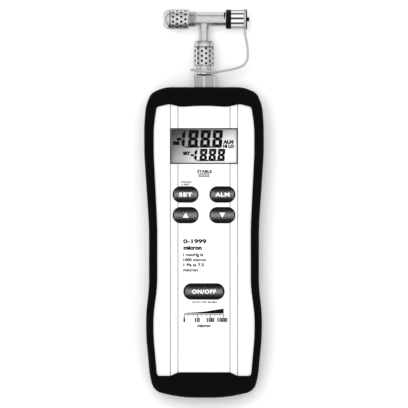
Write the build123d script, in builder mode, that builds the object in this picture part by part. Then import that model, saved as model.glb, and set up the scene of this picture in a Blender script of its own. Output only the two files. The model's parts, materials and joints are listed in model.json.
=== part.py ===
"""Handheld digital vacuum gauge in a rubber boot, with a flare tee on its port.

Millimetres. +X is right and +Y is up as the face is read, and +Z comes out of the
face. The gauge lies on its back: Z = 0 is the back of the boot, and the origin is
under the middle of the whole length. The port, the tee's branch and the swivel nut
turn about one line along Y. The tee's run and both caps lie on one line along X.
"""
import os
from math import cos, radians, sin, tan

from build123d import *

# Fits
boot_fit = 0.15        # rubber boot over the case
seat_fit = 0.1         # pieces of one body that seat in each other
moving_gap = 0.3       # pieces of different bodies that pass each other
pick_slack = 0.1       # when edges are picked by place

# Boot outline
body_length = 226.8
head_width = 87.4
waist_width = 80.3
foot_width = 84.6
crown_width = 58.0     # nearly flat stretch of the top edge
shoulder_width = 77.6
temple_width = 85.2
heel_width = 73.6
ankle_width = 79.4
sole_width = 32.0      # nearly flat stretch of the bottom edge
shoulder_drop = 4.4
temple_drop = 14.1
head_start = 28.6
head_end = 48.6
waist_start = 101.6
waist_end = 80.1       # from the bottom, as the next four are
foot_start = 62.1
foot_end = 45.1
ankle_rise = 17.0
heel_rise = 4.75

# Boot section
rim_rise = 3.4         # boot's rim above the face
boot_wall = 3.0
back_lip = 2.2         # thickness of the back
back_border = 12.0     # width of the rim round the back opening
back_corner = 16.0
boot_round = 4.2
boot_back_round = 3.0
lip_round = 0.8
temple_lip = 8.0       # width of the front rim beside the top corners
head_lip = 7.0
waist_lip = 6.05
foot_lip = 5.4
crown_lip = 14.6       # depth of the front rim at the top
sole_lip = 18.65       # depth of the front rim at the bottom
arch_half_width = 16.5
arch_crown_half_width = 6.0
arch_rise = 0.85
peak_half_width = 25.8
peak_rise = 2.2
notch_inner = 19.0
notch_outer = 24.5
notch_depth = 2.6

# Share of a corner's shorter run that its arc takes, down the right side of the boot's
# outline and of its front opening
outline_shares = [0.48, 0.35, 0.4, 0.3, 0.34, 0.22, 0.36, 0.38, 0.33, 0.25, 0.49, 0.48]
opening_shares = [0.48, 0.3, 0.17, 0.17, 0.49, 0.25, 0.17, 0.45, 0.49, 0.34, 0.19, 0.2, 0.2]

# Case shells
case_wall = 2.2
split_height = 20.0
face_height = 38.6
plateau_step = 1.2
plateau_width = 38.0
slope_width = 49.2
crease_width = 0.4     # fine grooves along both edges of each slope
crease_depth = 0.3
tongue_thickness = 1.0
tongue_height = 1.5
case_edge_round = 2.0
column_radius = 4.0
column_inset = 8.6     # from the boot's outline
case_screw_radius = 1.5
case_screw_head_radius = 2.7
case_screw_head_height = 1.9
case_screw_bite = 9.0
screw_pocket_depth = 6.0
port_hole_reach = 1.0

# Display
display_drop = 43.05   # boot top to the middle of the display
window_width = 49.1
window_height = 26.1
window_thickness = 1.2
window_recess = 0.4
window_ledge = 0.8
window_corner = 0.8
glass_width = 51.5
glass_height = 31.5
glass_thickness = 2.2
bezel_wall = 1.5
bezel_plate = 1.0
contact_height = 2.4   # board to the back of the glass
contact_depth = 2.2
contact_length = 46.0
contact_margin = 2.6   # overhang of the front glass

# Stable light
light_below_display = 21.3
light_width = 7.8
light_height = 2.4
light_flange = 0.8
light_flange_thickness = 1.0
led_width = 3.2
led_depth = 1.6
led_height = 1.1

# Keys
small_key_length = 18.4
power_key_length = 29.5
key_width = 11.4
key_corner = 5.5
key_proud = 1.8
key_crown_radius = 13.0
key_edge_round = 0.5
key_flange = 1.3
key_flange_thickness = 1.0
key_post_radius = 3.0
key_column_x = 13.4
top_row_below_display = 35.35
arrow_row_below_top_row = 15.1
power_key_below_arrows = 55.7

# Keypad mat
mat_thickness = 1.0
mat_width = 49.0
mat_margin = 8.5
dome_base_radius = 5.4
dome_top_radius = 3.6
dome_height = 2.4
dome_web = 0.6
pill_radius = 2.4
pill_gap = 0.6

# Main board and what is on it
board_thickness = 1.6
board_margin = 6.8     # from the case's inside
board_top_drop = 18.6
board_bottom_drop = 172.0
board_boss_radius = 2.8
board_boss_inset = 3.4
board_screw_radius = 1.2
board_screw_head_radius = 2.3
board_screw_head_height = 1.4
board_screw_bite = 4.0
board_corner = 1.5
chip_legs = 10
converter_legs = 7
chip_size = 14.0
chip_height = 2.0
chip_drop = 98.0
chip_pin_pitch = 1.27
chip_pin_width = 0.5
chip_pin_reach = 1.2
chip_pin_height = 0.5
converter_length = 10.0
converter_width = 4.0
converter_height = 1.75
converter_drop = 42.0
crystal_length = 11.0
crystal_width = 4.7
crystal_height = 3.5
crystal_drop = 112.0
buzzer_radius = 6.0
buzzer_height = 5.5
buzzer_hole_radius = 1.0
buzzer_x = 17.0
buzzer_drop = 64.0
capacitor_radius = 3.2
capacitor_length = 7.0
capacitor_x = -17.0
capacitor_drop = 64.0

# Battery, its snap and its cover
battery_width = 26.5
battery_depth = 17.5
battery_length = 46.4
battery_corner = 2.0
battery_rise = 18.0    # boot bottom to the battery's foot
battery_play = 0.5
terminal_spacing = 12.7
terminal_length = 2.1
terminal_radius = 3.2
snap_thickness = 4.0
snap_length = 25.0
snap_width = 12.0
pocket_wall = 1.6
pocket_headroom = 7.5
cover_ledge = 2.6
cover_thickness = 2.0
cover_rim_height = 1.5
cover_hook = 2.0
cover_hook_width = 14.0
cover_hook_thickness = 1.2
cover_screw_land = 12.0
cover_screw_radius = 1.3
cover_screw_head_radius = 2.6
cover_screw_head_height = 1.2
cover_boss_radius = 3.4
cover_boss_height = 9.0
cover_corner = 2.5
lead_radius = 0.7
lead_spacing = 5.0     # from the middle
lead_reach = 6.5       # from the snap to the lead's first bend
lead_slant = 6.0
lead_rise = 5.5        # from the last bend to the board
wire_bend_share = 0.45 # of the shorter run at a wire's bend

# Sensor port
hex_flats = 15.875
hex_height = 8.6       # above the boot
hex_chamfer = 0.9
hex_edge = 0.8         # flats between the hexagon's faces
boot_port_gap = 0.4
neck_radius = 4.82
neck_length = 7.15
flare_radius = 5.556   # crest of the 7/16 inch flare thread
flare_nose_radius = 3.3
port_thread_inset = 0.8
port_thread_length = 6.0
flow_radius = 2.4
stem_radius = 6.0
stem_length = 8.0      # inside the case
seal_ring_outer = 5.35
seal_ring_height = 1.0
lock_nut_flats = 17.0
lock_nut_height = 3.0
lock_washer_outer = 8.2
lock_washer_thickness = 0.8
stem_thread_play = 0.05
sensor_radius = 4.6
sensor_length = 7.0
sensor_stub_radius = 3.6
sensor_stub_length = 5.0
sensor_lead_radius = 0.4
sensor_lead_spacing = 2.2
sensor_lead_count = 4
sensor_lead_run = 4.0
sensor_lead_tail = 0.6 # beyond the board

# Swivel nut
nut_radius = 7.1
nut_knurl_length = 14.1
nut_dome_length = 4.15
nut_dome_radius = 4.9  # where the dome ends, at the tee's branch
nut_edge = 0.4

# Tee
branch_radius = 3.725
branch_reach = 15.7    # nut's top to the run's axis
branch_flare_radius = 5.25
branch_flare_height = 2.2
branch_fillet = 1.0
run_radius = 4.85
left_thread_start = 5.4
left_thread_length = 14.6
right_thread_start = 14.2
right_thread_length = 7.7

# Knurled cap
cap_mouth = 11.2
cap_knurl_length = 14.0
cap_dome_length = 4.3
cap_dome_radius = 3.45
cap_seal_thickness = 1.6

# Ribbed dust cap
dust_mouth = 16.1
band_length = 3.7
band_radius = 7.05
skirt_radius = 6.45
ribbed_length = 9.2
rib_radius = 6.95
rib_root_radius = 6.45
rib_count = 12
rib_width = 2.5
rib_turn = 10.0
dust_seal_thickness = 0.8
stud_radius = 1.45
stud_head_radius = 2.6
stud_head_thickness = 1.0
stud_tail = 1.6
washer_radius = 7.3
washer_thickness = 0.8

# Cap tether
tether_disc_radius = 7.8
tether_disc_thickness = 1.7
strap_thickness = 1.7
strap_width = 5.0
ring_inner_radius = 5.8
ring_outer_radius = 10.0
ring_tilt = 5.6
ring_drop = 3.9        # below the swivel nut
strap_neck = 2.6       # straight stretch below the disc
strap_bow = 2.5
strap_knee_drop = 21.9
strap_heel_inset = 1.7
strap_heel_rise = 5.3
strap_toe_x = 22.5
strap_toe_rise = 1.1
strap_radii = [12, 25, 6, 28]

# Levels along Y
nut_length = nut_knurl_length + nut_dome_length
fitting_length = hex_height + neck_length + nut_length + branch_reach + tether_disc_radius
overall_length = body_length + fitting_length
boot_bottom = -overall_length / 2
boot_top = boot_bottom + body_length
hex_top = boot_top + hex_height
nut_bottom = hex_top + neck_length
nut_top = nut_bottom + nut_length
run_y = nut_top + branch_reach

# Levels along Z
port_z = split_height
boot_height = face_height + rim_rise
plateau_height = face_height + plateau_step
inner_face = face_height - case_wall
case_back = back_lip + boot_fit
inner_back = case_back + case_wall
glass_front = inner_face - 2 * seat_fit - bezel_plate
board_front = glass_front - glass_thickness - contact_height
board_back = board_front - board_thickness

# Insets from the boot's outline
case_inset = boot_wall + boot_fit
cavity_inset = case_inset + case_wall
case_top = boot_top - case_inset
cavity_top = boot_top - cavity_inset
cavity_bottom = boot_bottom + cavity_inset
plateau_length = cavity_top - cavity_bottom

# Places on the face
display_y = boot_top - display_drop
light_y = display_y - light_below_display
top_row_y = display_y - top_row_below_display
arrow_row_y = top_row_y - arrow_row_below_top_row
power_key_y = arrow_row_y - power_key_below_arrows
keys = {
    "set_key": (-key_column_x, top_row_y, small_key_length),
    "alarm_key": (key_column_x, top_row_y, small_key_length),
    "up_key": (-key_column_x, arrow_row_y, small_key_length),
    "down_key": (key_column_x, arrow_row_y, small_key_length),
    "power_key": (0.0, power_key_y, power_key_length),
}

# Places inside
column_places = [
    (side * (width / 2 - column_inset), height)
    for side in (-1, 1)
    for width, height in (
        (temple_width, boot_top - temple_drop),
        (foot_width, boot_bottom + foot_end),
    )
]
board_width = waist_width - 2 * (cavity_inset + board_margin)
board_top = boot_top - board_top_drop
board_bottom = boot_top - board_bottom_drop
board_boss_places = [
    (side * (board_width / 2 - board_boss_inset), height)
    for side in (-1, 1)
    for height in (board_top - board_boss_inset, board_bottom + board_boss_inset)
]
screw_seat = case_back + screw_pocket_depth
battery_bottom = boot_bottom + battery_rise
battery_top = battery_bottom + battery_length
battery_back = case_back + cover_thickness + battery_play
pocket_width = battery_width + 2 * battery_play
pocket_bottom = battery_bottom - battery_play
pocket_top = battery_top + pocket_headroom
cover_bottom = pocket_bottom - cover_ledge
cover_top = pocket_top + cover_screw_land
cover_width = pocket_width + 2 * cover_ledge
cover_screw_y = cover_top - cover_screw_land / 2
battery_middle = battery_back + battery_depth / 2

# Display stack
window_back = plateau_height - window_recess - window_thickness
opening_width = window_width - 2 * window_ledge
opening_height = window_height - 2 * window_ledge
bezel_width = glass_width + 2 * (seat_fit + bezel_wall)
bezel_height = glass_height + 2 * (seat_fit + bezel_wall)

# Key stack
key_top = plateau_height + key_proud
key_flange_top = inner_face - moving_gap
key_flange_back = key_flange_top - key_flange_thickness
key_crown_drop = key_crown_radius - (key_crown_radius ** 2 - (key_width / 2) ** 2) ** 0.5
mat_front = board_front + mat_thickness
dome_front = mat_front + dome_height
mat_top = top_row_y + mat_margin
mat_bottom = power_key_y - mat_margin

# Flare cones slope at 45 degrees, and a moving gap across one is longer along its axis
hex_corner_radius = hex_flats / 2 / cos(radians(30))
cone_length = flare_radius - flare_nose_radius
cone_gap = moving_gap / cos(radians(45))
bore_radius = flare_radius + moving_gap
port_thread_start = nut_bottom + port_thread_inset
port_thread_end = port_thread_start + port_thread_length
port_nose = port_thread_end + cone_length
stem_end = cavity_top - stem_length
sensor_end = stem_end - sensor_length
lead_foot_y = sensor_end - sensor_lead_run
branch_end = port_thread_end + flare_radius - branch_flare_radius + cone_gap
branch_shoulder = branch_end + branch_flare_height
branch_shoulder_end = branch_shoulder + branch_flare_radius - branch_radius
branch_mouth = branch_end + branch_flare_radius - flow_radius
nut_hole_radius = branch_radius + moving_gap
nut_shoulder = branch_shoulder + branch_flare_radius - bore_radius + cone_gap
nut_shoulder_end = nut_shoulder + bore_radius - nut_hole_radius

# Run, from the closed cap on the left to the dust cap on the right
left_thread_end = left_thread_start + left_thread_length
left_nose = left_thread_end + cone_length
right_thread_end = right_thread_start + right_thread_length
right_nose = right_thread_end + cone_length
cap_seal_start = left_nose + moving_gap
cap_bore_end = cap_seal_start + cap_seal_thickness
cap_knurl_end = cap_mouth + cap_knurl_length
cap_end = cap_knurl_end + cap_dome_length
dust_seal_start = right_nose + moving_gap
dust_bore_end = dust_seal_start + dust_seal_thickness
band_end = dust_mouth + band_length
dust_end = band_end + ribbed_length
disc_end = dust_end + tether_disc_thickness
washer_end = disc_end + washer_thickness
disc_middle = dust_end + tether_disc_thickness / 2
ring_y = nut_bottom - ring_drop
ring_sag = ring_inner_radius - neck_radius - moving_gap

branch_axis = Axis((0, 0, port_z), (0, 1, 0))
run_axis = Axis((0, run_y, port_z), (1, 0, 0))
axis_plane = Plane.XY.offset(port_z)


def across(y):
    """Plane square to the port's axis at a level y, looking along +Y."""
    return Plane(origin=(0, y, port_z), x_dir=(1, 0, 0), z_dir=(0, 1, 0))


def along_run(x):
    """Plane square to the run's axis at a place x, looking along +X."""
    return Plane(origin=(x, run_y, port_z), x_dir=(0, 1, 0), z_dir=(1, 0, 0))


def mirrored(right_side):
    """Closed ring of corners from those of its right side, top to bottom."""
    left_side = [(-x, y) for x, y in reversed(right_side)]
    return right_side + left_side


body_corners = mirrored([
    (crown_width / 2, boot_top),
    (shoulder_width / 2, boot_top - shoulder_drop),
    (temple_width / 2, boot_top - temple_drop),
    (head_width / 2, boot_top - head_start),
    (head_width / 2, boot_top - head_end),
    (waist_width / 2, boot_top - waist_start),
    (waist_width / 2, boot_bottom + waist_end),
    (foot_width / 2, boot_bottom + foot_start),
    (foot_width / 2, boot_bottom + foot_end),
    (ankle_width / 2, boot_bottom + ankle_rise),
    (heel_width / 2, boot_bottom + heel_rise),
    (sole_width / 2, boot_bottom),
])

opening_top = boot_top - crown_lip
opening_bottom = boot_bottom + sole_lip
opening_corners = mirrored([
    (arch_crown_half_width, opening_top + arch_rise),
    (arch_half_width, opening_top),
    (peak_half_width, opening_top + peak_rise),
    (temple_width / 2 - temple_lip, opening_top),
    (head_width / 2 - head_lip, boot_top - head_start),
    (head_width / 2 - head_lip, boot_top - head_end),
    (waist_width / 2 - waist_lip, boot_top - waist_start),
    (waist_width / 2 - waist_lip, boot_bottom + waist_end),
    (foot_width / 2 - foot_lip, boot_bottom + foot_start),
    (foot_width / 2 - foot_lip, boot_bottom + foot_end),
    (ankle_width / 2 - foot_lip, opening_bottom - notch_depth),
    (notch_outer, opening_bottom - notch_depth),
    (notch_inner, opening_bottom),
])


def bend_radius(before, corner, after, share):
    """Radius of the arc at a corner that takes a share of the shorter of its two runs."""
    run_in = Vector(corner) - Vector(before)
    run_out = Vector(after) - Vector(corner)
    half_turn = radians(run_in.get_angle(run_out) / 2)
    return share * min(run_in.length, run_out.length) / tan(half_turn)


def rounded_ring(corners, right_shares, inset=0.0):
    """Closed line through a mirrored ring of corners, rounded and drawn in by an inset.

    The ring runs clockwise, so its inside is on the right of each run. An arc's radius
    shrinks by the inset where the ring bulges, and grows where it is hollow.
    """
    shares = right_shares + right_shares[::-1]
    inset_corners, radii = [], []
    for number, (corner, share) in enumerate(zip(corners, shares)):
        before, after = corners[number - 1], corners[(number + 1) % len(corners)]
        run_in = (Vector(corner) - Vector(before)).normalized()
        run_out = (Vector(after) - Vector(corner)).normalized()
        inward = Vector(run_in.Y + run_out.Y, -run_in.X - run_out.X)
        inset_corners.append(Vector(corner) + inward * inset / (1 + run_in.dot(run_out)))
        bulges = run_in.cross(run_out).Z < 0
        radii.append(bend_radius(before, corner, after, share) - (inset if bulges else -inset))
    return FilletPolyline(*inset_corners, radius=radii, close=True)


def body_outline(height, inset=0.0):
    """The body's outline at a height, drawn in by an inset."""
    with BuildSketch(Plane.XY.offset(height)) as outline:
        with BuildLine():
            rounded_ring(body_corners, outline_shares, inset)
        make_face()
    return outline.sketch


def above_face(edge):
    """Whether an edge lies clear of the face, as a key's crown does."""
    return edge.bounding_box().min.Z > plateau_height


def on_saddle(edge):
    """Whether an edge is where the tee's branch meets its bar."""
    box = edge.bounding_box()
    near = box.min.Y > run_y - run_radius - pick_slack and box.max.Y < run_y
    return near and max(abs(box.min.X), abs(box.max.X)) < branch_radius + pick_slack


def dome_point(end_radius, start, start_radius, length):
    """Radius and place of the middle of a dome, a quarter round that ends square."""
    half = radians(45)
    return end_radius + (start_radius - end_radius) * cos(half), start + length * sin(half)


def finish_part(part, name):
    """Name a finished piece and write it."""
    part.label = name
    export_step(part, f"parts/{name}.step")


def plateau_section(grown):
    """Section of the raised plateau on the face, grown by a clearance."""
    with BuildSketch(Plane.XZ.offset(-cavity_top - grown)) as section:
        with BuildLine():
            Polyline(
                (-slope_width / 2 - grown, inner_face),
                (-slope_width / 2 - grown, face_height + grown),
                (-plateau_width / 2 - grown, plateau_height + grown),
                (plateau_width / 2 + grown, plateau_height + grown),
                (slope_width / 2 + grown, face_height + grown),
                (slope_width / 2 + grown, inner_face),
                close=True,
            )
        make_face()
    return section.sketch


def key_shape(height, length, grown=0.0):
    """A key's outline at a height, round its own middle, grown by a clearance."""
    with BuildSketch(Plane.XY.offset(height)) as shape:
        RectangleRounded(length + 2 * grown, key_width + 2 * grown, key_corner + grown)
    return shape.sketch


os.makedirs("parts", exist_ok=True)

# Rubber boot: a thick rounded wall round the case, open at the face and at the back
with BuildSketch(Plane.XY.offset(face_height)) as face_opening:
    with BuildLine():
        rounded_ring(opening_corners, opening_shares)
    make_face()

with BuildPart() as rubber_boot:
    extrude(body_outline(0), amount=boot_height)
    fillet(rubber_boot.edges().group_by(Axis.Z)[-1], radius=boot_round)
    fillet(rubber_boot.edges().group_by(Axis.Z)[0], radius=boot_back_round)
    extrude(body_outline(back_lip, boot_wall), amount=face_height + boot_fit - back_lip, mode=Mode.SUBTRACT)
    extrude(plateau_section(boot_fit), amount=plateau_length + 2 * boot_fit, mode=Mode.SUBTRACT)
    extrude(face_opening.sketch, amount=boot_height - face_height, mode=Mode.SUBTRACT)
    with BuildSketch():
        with Locations((0, (boot_top + boot_bottom) / 2)):
            RectangleRounded(waist_width - 2 * back_border, body_length - 2 * back_border, back_corner)
    extrude(amount=back_lip, mode=Mode.SUBTRACT)
    with BuildSketch(across(case_top - seat_fit)):
        Circle(hex_corner_radius + boot_port_gap)
    extrude(amount=2 * boot_wall, mode=Mode.SUBTRACT)
    front_rim = rubber_boot.faces().filter_by(Plane.XY).sort_by(Axis.Z)[-1]
    fillet(front_rim.inner_wires()[0].edges(), radius=lip_round)
finish_part(rubber_boot.part, "rubber_boot")

# Front case: a shell with a raised plateau down its middle
with BuildPart() as front_case:
    extrude(body_outline(split_height, case_inset), amount=face_height - split_height)
    fillet(front_case.edges().group_by(Axis.Z)[-1], radius=case_edge_round)
    extrude(plateau_section(0.0), amount=plateau_length)
    with BuildSketch(Plane.XZ.offset(-cavity_top)):
        for crease_x, crease_z in ((plateau_width / 2, plateau_height), (slope_width / 2, face_height)):
            with Locations((crease_x, crease_z), (-crease_x, crease_z)):
                Rectangle(crease_width, 2 * crease_depth)
    extrude(amount=plateau_length, mode=Mode.SUBTRACT)
    extrude(body_outline(split_height, cavity_inset), amount=inner_face - split_height, mode=Mode.SUBTRACT)
    with BuildSketch(Plane.XY.offset(split_height)):
        with Locations(*column_places):
            Circle(column_radius)
    extrude(amount=inner_face - split_height)
    rebate_outside = body_outline(split_height, cavity_inset - tongue_thickness - seat_fit)
    rebate_inside = body_outline(split_height, cavity_inset + seat_fit)
    extrude(rebate_outside - rebate_inside, amount=tongue_height + seat_fit, mode=Mode.SUBTRACT)
    with BuildSketch(Plane.XY.offset(board_front)):
        with Locations(*board_boss_places):
            Circle(board_boss_radius)
    extrude(amount=inner_face - board_front)
    with BuildSketch(Plane.XY.offset(split_height)):
        with Locations(*column_places):
            Circle(case_screw_radius)
    extrude(amount=case_screw_bite + seat_fit, mode=Mode.SUBTRACT)
    with BuildSketch(Plane.XY.offset(board_front)):
        with Locations(*board_boss_places):
            Circle(board_screw_radius)
    extrude(amount=board_screw_bite + seat_fit, mode=Mode.SUBTRACT)
    for key_x, key_y, key_length in keys.values():
        with Locations((key_x, key_y)):
            add(key_shape(inner_face, key_length, moving_gap))
        extrude(amount=case_wall + plateau_step, mode=Mode.SUBTRACT)
    with BuildSketch(Plane.XY.offset(window_back)):
        with Locations((0, display_y)):
            RectangleRounded(window_width + 2 * seat_fit, window_height + 2 * seat_fit, window_corner)
    extrude(amount=plateau_step + case_wall, mode=Mode.SUBTRACT)
    with BuildSketch(Plane.XY.offset(inner_face)):
        with Locations((0, display_y)):
            Rectangle(opening_width, opening_height)
        with Locations((0, light_y)):
            Rectangle(light_width + 2 * seat_fit, light_height + 2 * seat_fit)
    extrude(amount=case_wall + plateau_step, mode=Mode.SUBTRACT)
    with BuildSketch(across(cavity_top - port_hole_reach)):
        Circle(stem_radius + seat_fit)
    extrude(amount=case_wall + 2 * port_hole_reach, mode=Mode.SUBTRACT)
finish_part(front_case.part, "front_case")

# Rear case: a shell with a tongue round its rim and a pocket for the battery
pocket_middle = (0, (pocket_bottom + pocket_top) / 2)
cover_middle = (0, (cover_bottom + cover_top) / 2)
cover_height = cover_top - cover_bottom

with BuildPart() as rear_case:
    extrude(body_outline(case_back, case_inset), amount=split_height - case_back)
    fillet(rear_case.edges().group_by(Axis.Z)[0], radius=case_edge_round)
    extrude(body_outline(split_height, cavity_inset - tongue_thickness), amount=tongue_height)
    extrude(body_outline(inner_back, cavity_inset), amount=split_height, mode=Mode.SUBTRACT)
    with BuildSketch(Plane.XY.offset(inner_back)):
        with Locations(*column_places):
            Circle(column_radius)
        with Locations(pocket_middle):
            Rectangle(pocket_width + 2 * pocket_wall, pocket_top - pocket_bottom + 2 * pocket_wall)
    extrude(amount=split_height - inner_back)
    with BuildSketch(Plane.XY.offset(inner_back)):
        with Locations(cover_middle):
            Rectangle(cover_width + 2 * pocket_wall, cover_height + 2 * pocket_wall)
    extrude(amount=cover_rim_height)
    with BuildSketch(Plane.XY.offset(inner_back)):
        with Locations((0, cover_screw_y)):
            Circle(cover_boss_radius)
    extrude(amount=cover_boss_height)
    with BuildSketch(Plane.XY.offset(case_back)):
        with Locations(pocket_middle):
            Rectangle(pocket_width, pocket_top - pocket_bottom)
    extrude(amount=split_height, mode=Mode.SUBTRACT)
    with BuildSketch(Plane.XY.offset(case_back)):
        with Locations(cover_middle):
            RectangleRounded(cover_width + 2 * seat_fit, cover_height + 2 * seat_fit, cover_corner)
    extrude(amount=cover_thickness, mode=Mode.SUBTRACT)
    with BuildSketch(Plane.XY.offset(case_back + cover_thickness - seat_fit)):
        with Locations((0, pocket_bottom)):
            Rectangle(cover_hook_width + 2 * seat_fit, 2 * (cover_ledge + cover_hook + seat_fit))
    extrude(amount=cover_hook_thickness + 2 * seat_fit, mode=Mode.SUBTRACT)
    with BuildSketch(Plane.XY.offset(battery_middle - lead_radius - moving_gap)):
        with Locations((0, pocket_top + pocket_wall / 2)):
            Rectangle(2 * (lead_spacing + lead_radius), 2 * pocket_wall)
    extrude(amount=split_height, mode=Mode.SUBTRACT)
    with BuildSketch(Plane.XY.offset(case_back)):
        with Locations(*column_places):
            Circle(case_screw_head_radius + seat_fit)
    extrude(amount=screw_pocket_depth, mode=Mode.SUBTRACT)
    with BuildSketch(Plane.XY.offset(screw_seat)):
        with Locations(*column_places):
            Circle(case_screw_radius + seat_fit)
    extrude(amount=split_height, mode=Mode.SUBTRACT)
    with BuildSketch(Plane.XY.offset(case_back)):
        with Locations((0, cover_screw_y)):
            Circle(cover_screw_radius + seat_fit)
    extrude(amount=split_height, mode=Mode.SUBTRACT)
    with BuildSketch(across(cavity_top - port_hole_reach)):
        Circle(stem_radius + seat_fit)
    extrude(amount=case_wall + 2 * port_hole_reach, mode=Mode.SUBTRACT)
finish_part(rear_case.part, "rear_case")

# Battery cover: a flush plate with a hook at its foot and a screw at its head
with BuildPart() as battery_cover:
    with BuildSketch(Plane.XY.offset(case_back)):
        with Locations(cover_middle):
            RectangleRounded(cover_width, cover_height, cover_corner)
    extrude(amount=cover_thickness)
    with BuildSketch(Plane.XY.offset(case_back + cover_thickness)):
        with Locations((0, cover_bottom + (cover_ledge - cover_hook) / 2)):
            Rectangle(cover_hook_width, cover_ledge + cover_hook)
    extrude(amount=cover_hook_thickness)
    with BuildSketch(Plane.XY.offset(case_back)):
        with Locations((0, cover_screw_y)):
            Circle(cover_screw_radius + seat_fit)
    extrude(amount=cover_thickness, mode=Mode.SUBTRACT)
    with BuildSketch(Plane.XY.offset(case_back)):
        with Locations((0, cover_screw_y)):
            Circle(cover_screw_head_radius + seat_fit)
    extrude(amount=cover_screw_head_height, mode=Mode.SUBTRACT)
finish_part(battery_cover.part, "battery_cover")


def screws(name, places, seat, head_radius, head_height, shank_radius, shank_length, upwards=True):
    """Pan head screws: heads that end at a seat, and shanks that run on from it."""
    way = 1 if upwards else -1
    with BuildPart() as group:
        with BuildSketch(Plane.XY.offset(seat)):
            with Locations(*places):
                Circle(head_radius)
        extrude(amount=-way * head_height)
        with BuildSketch(Plane.XY.offset(seat)):
            with Locations(*places):
                Circle(shank_radius)
        extrude(amount=way * shank_length)
    finish_part(group.part, name)


screws(
    "case_screws", column_places, screw_seat,
    case_screw_head_radius, case_screw_head_height,
    case_screw_radius - seat_fit, split_height - screw_seat + case_screw_bite,
)
screws(
    "battery_cover_screw", [(0, cover_screw_y)], case_back + cover_screw_head_height,
    cover_screw_head_radius, cover_screw_head_height - seat_fit,
    cover_screw_radius, cover_boss_height,
)
screws(
    "board_screws", board_boss_places, board_back,
    board_screw_head_radius, board_screw_head_height,
    board_screw_radius - seat_fit, board_thickness + board_screw_bite,
)

# Display window, let into the plateau on a ledge
with BuildPart() as lcd_window:
    with BuildSketch(Plane.XY.offset(window_back)):
        with Locations((0, display_y)):
            RectangleRounded(window_width, window_height, window_corner)
    extrude(amount=window_thickness)
finish_part(lcd_window.part, "lcd_window")

# Display panel: a long front glass that overhangs a shorter rear one, where the contacts press
with BuildPart() as lcd_panel:
    with BuildSketch(Plane.XY.offset(glass_front)):
        with Locations((0, display_y)):
            Rectangle(glass_width, glass_height)
    extrude(amount=-glass_thickness / 2)
    with BuildSketch(Plane.XY.offset(glass_front - glass_thickness / 2)):
        with Locations((0, display_y)):
            Rectangle(glass_width, glass_height - 2 * contact_margin)
    extrude(amount=-glass_thickness / 2)
finish_part(lcd_panel.part, "lcd_panel")

# Contact strips, pressed between the overhangs of the glass and the board
with BuildPart() as contact_strips:
    with BuildSketch(Plane.XY.offset(board_front)):
        with Locations((0, display_y)):
            with GridLocations(0, glass_height - contact_margin, 1, 2):
                Rectangle(contact_length, contact_depth)
    extrude(amount=glass_front - glass_thickness / 2 - board_front)
finish_part(contact_strips.part, "contact_strips")

# Display frame: a box without a floor that holds the glass down on its contacts
with BuildPart() as lcd_frame:
    with BuildSketch(Plane.XY.offset(board_front)):
        with Locations((0, display_y)):
            Rectangle(bezel_width, bezel_height)
    extrude(amount=glass_front + bezel_plate - board_front)
    with BuildSketch(Plane.XY.offset(board_front)):
        with Locations((0, display_y)):
            Rectangle(glass_width + 2 * seat_fit, glass_height + 2 * seat_fit)
    extrude(amount=glass_front - board_front, mode=Mode.SUBTRACT)
    with BuildSketch(Plane.XY.offset(glass_front)):
        with Locations((0, display_y)):
            Rectangle(opening_width, opening_height)
    extrude(amount=bezel_plate, mode=Mode.SUBTRACT)
finish_part(lcd_frame.part, "lcd_frame")

# Stable light: a lens with a flange behind the face, and a pipe down to its light
with BuildPart() as stable_lens:
    with BuildSketch(Plane.XY.offset(board_front + led_height + seat_fit)):
        with Locations((0, light_y)):
            Rectangle(light_width, light_height)
    extrude(amount=plateau_height - seat_fit - (board_front + led_height + seat_fit))
    with BuildSketch(Plane.XY.offset(inner_face)):
        with Locations((0, light_y)):
            Rectangle(light_width + 2 * light_flange, light_height + 2 * light_flange)
    extrude(amount=-light_flange_thickness)
finish_part(stable_lens.part, "stable_lens")

with BuildPart() as stable_led:
    with BuildSketch(Plane.XY.offset(board_front)):
        with Locations((0, light_y)):
            Rectangle(led_width, led_depth)
    extrude(amount=led_height)
finish_part(stable_led.part, "stable_led")

# Keys: a crowned cap through the face, a flange behind it and a post over its dome
for key_name, (key_x, key_y, key_length) in keys.items():
    with BuildPart() as key:
        with Locations((key_x, key_y)):
            add(key_shape(key_flange_back, key_length))
        extrude(amount=key_top - key_flange_back)
        with BuildSketch(Plane.YZ.offset(key_x - key_length)):
            with Locations((key_y, key_top - key_crown_radius)):
                Circle(key_crown_radius)
            with Locations((key_y, key_flange_top)):
                Rectangle(2 * key_crown_radius, 2 * (key_top - key_flange_top - key_crown_drop))
        extrude(amount=2 * key_length, mode=Mode.INTERSECT)
        fillet(key.edges().filter_by(above_face), radius=key_edge_round)
        with Locations((key_x, key_y)):
            add(key_shape(key_flange_back, key_length, key_flange))
        extrude(amount=key_flange_thickness)
        with BuildSketch(Plane.XY.offset(key_flange_back)):
            with Locations((key_x, key_y)):
                Circle(key_post_radius)
        extrude(amount=dome_front + moving_gap - key_flange_back)
    finish_part(key.part, key_name)

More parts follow.
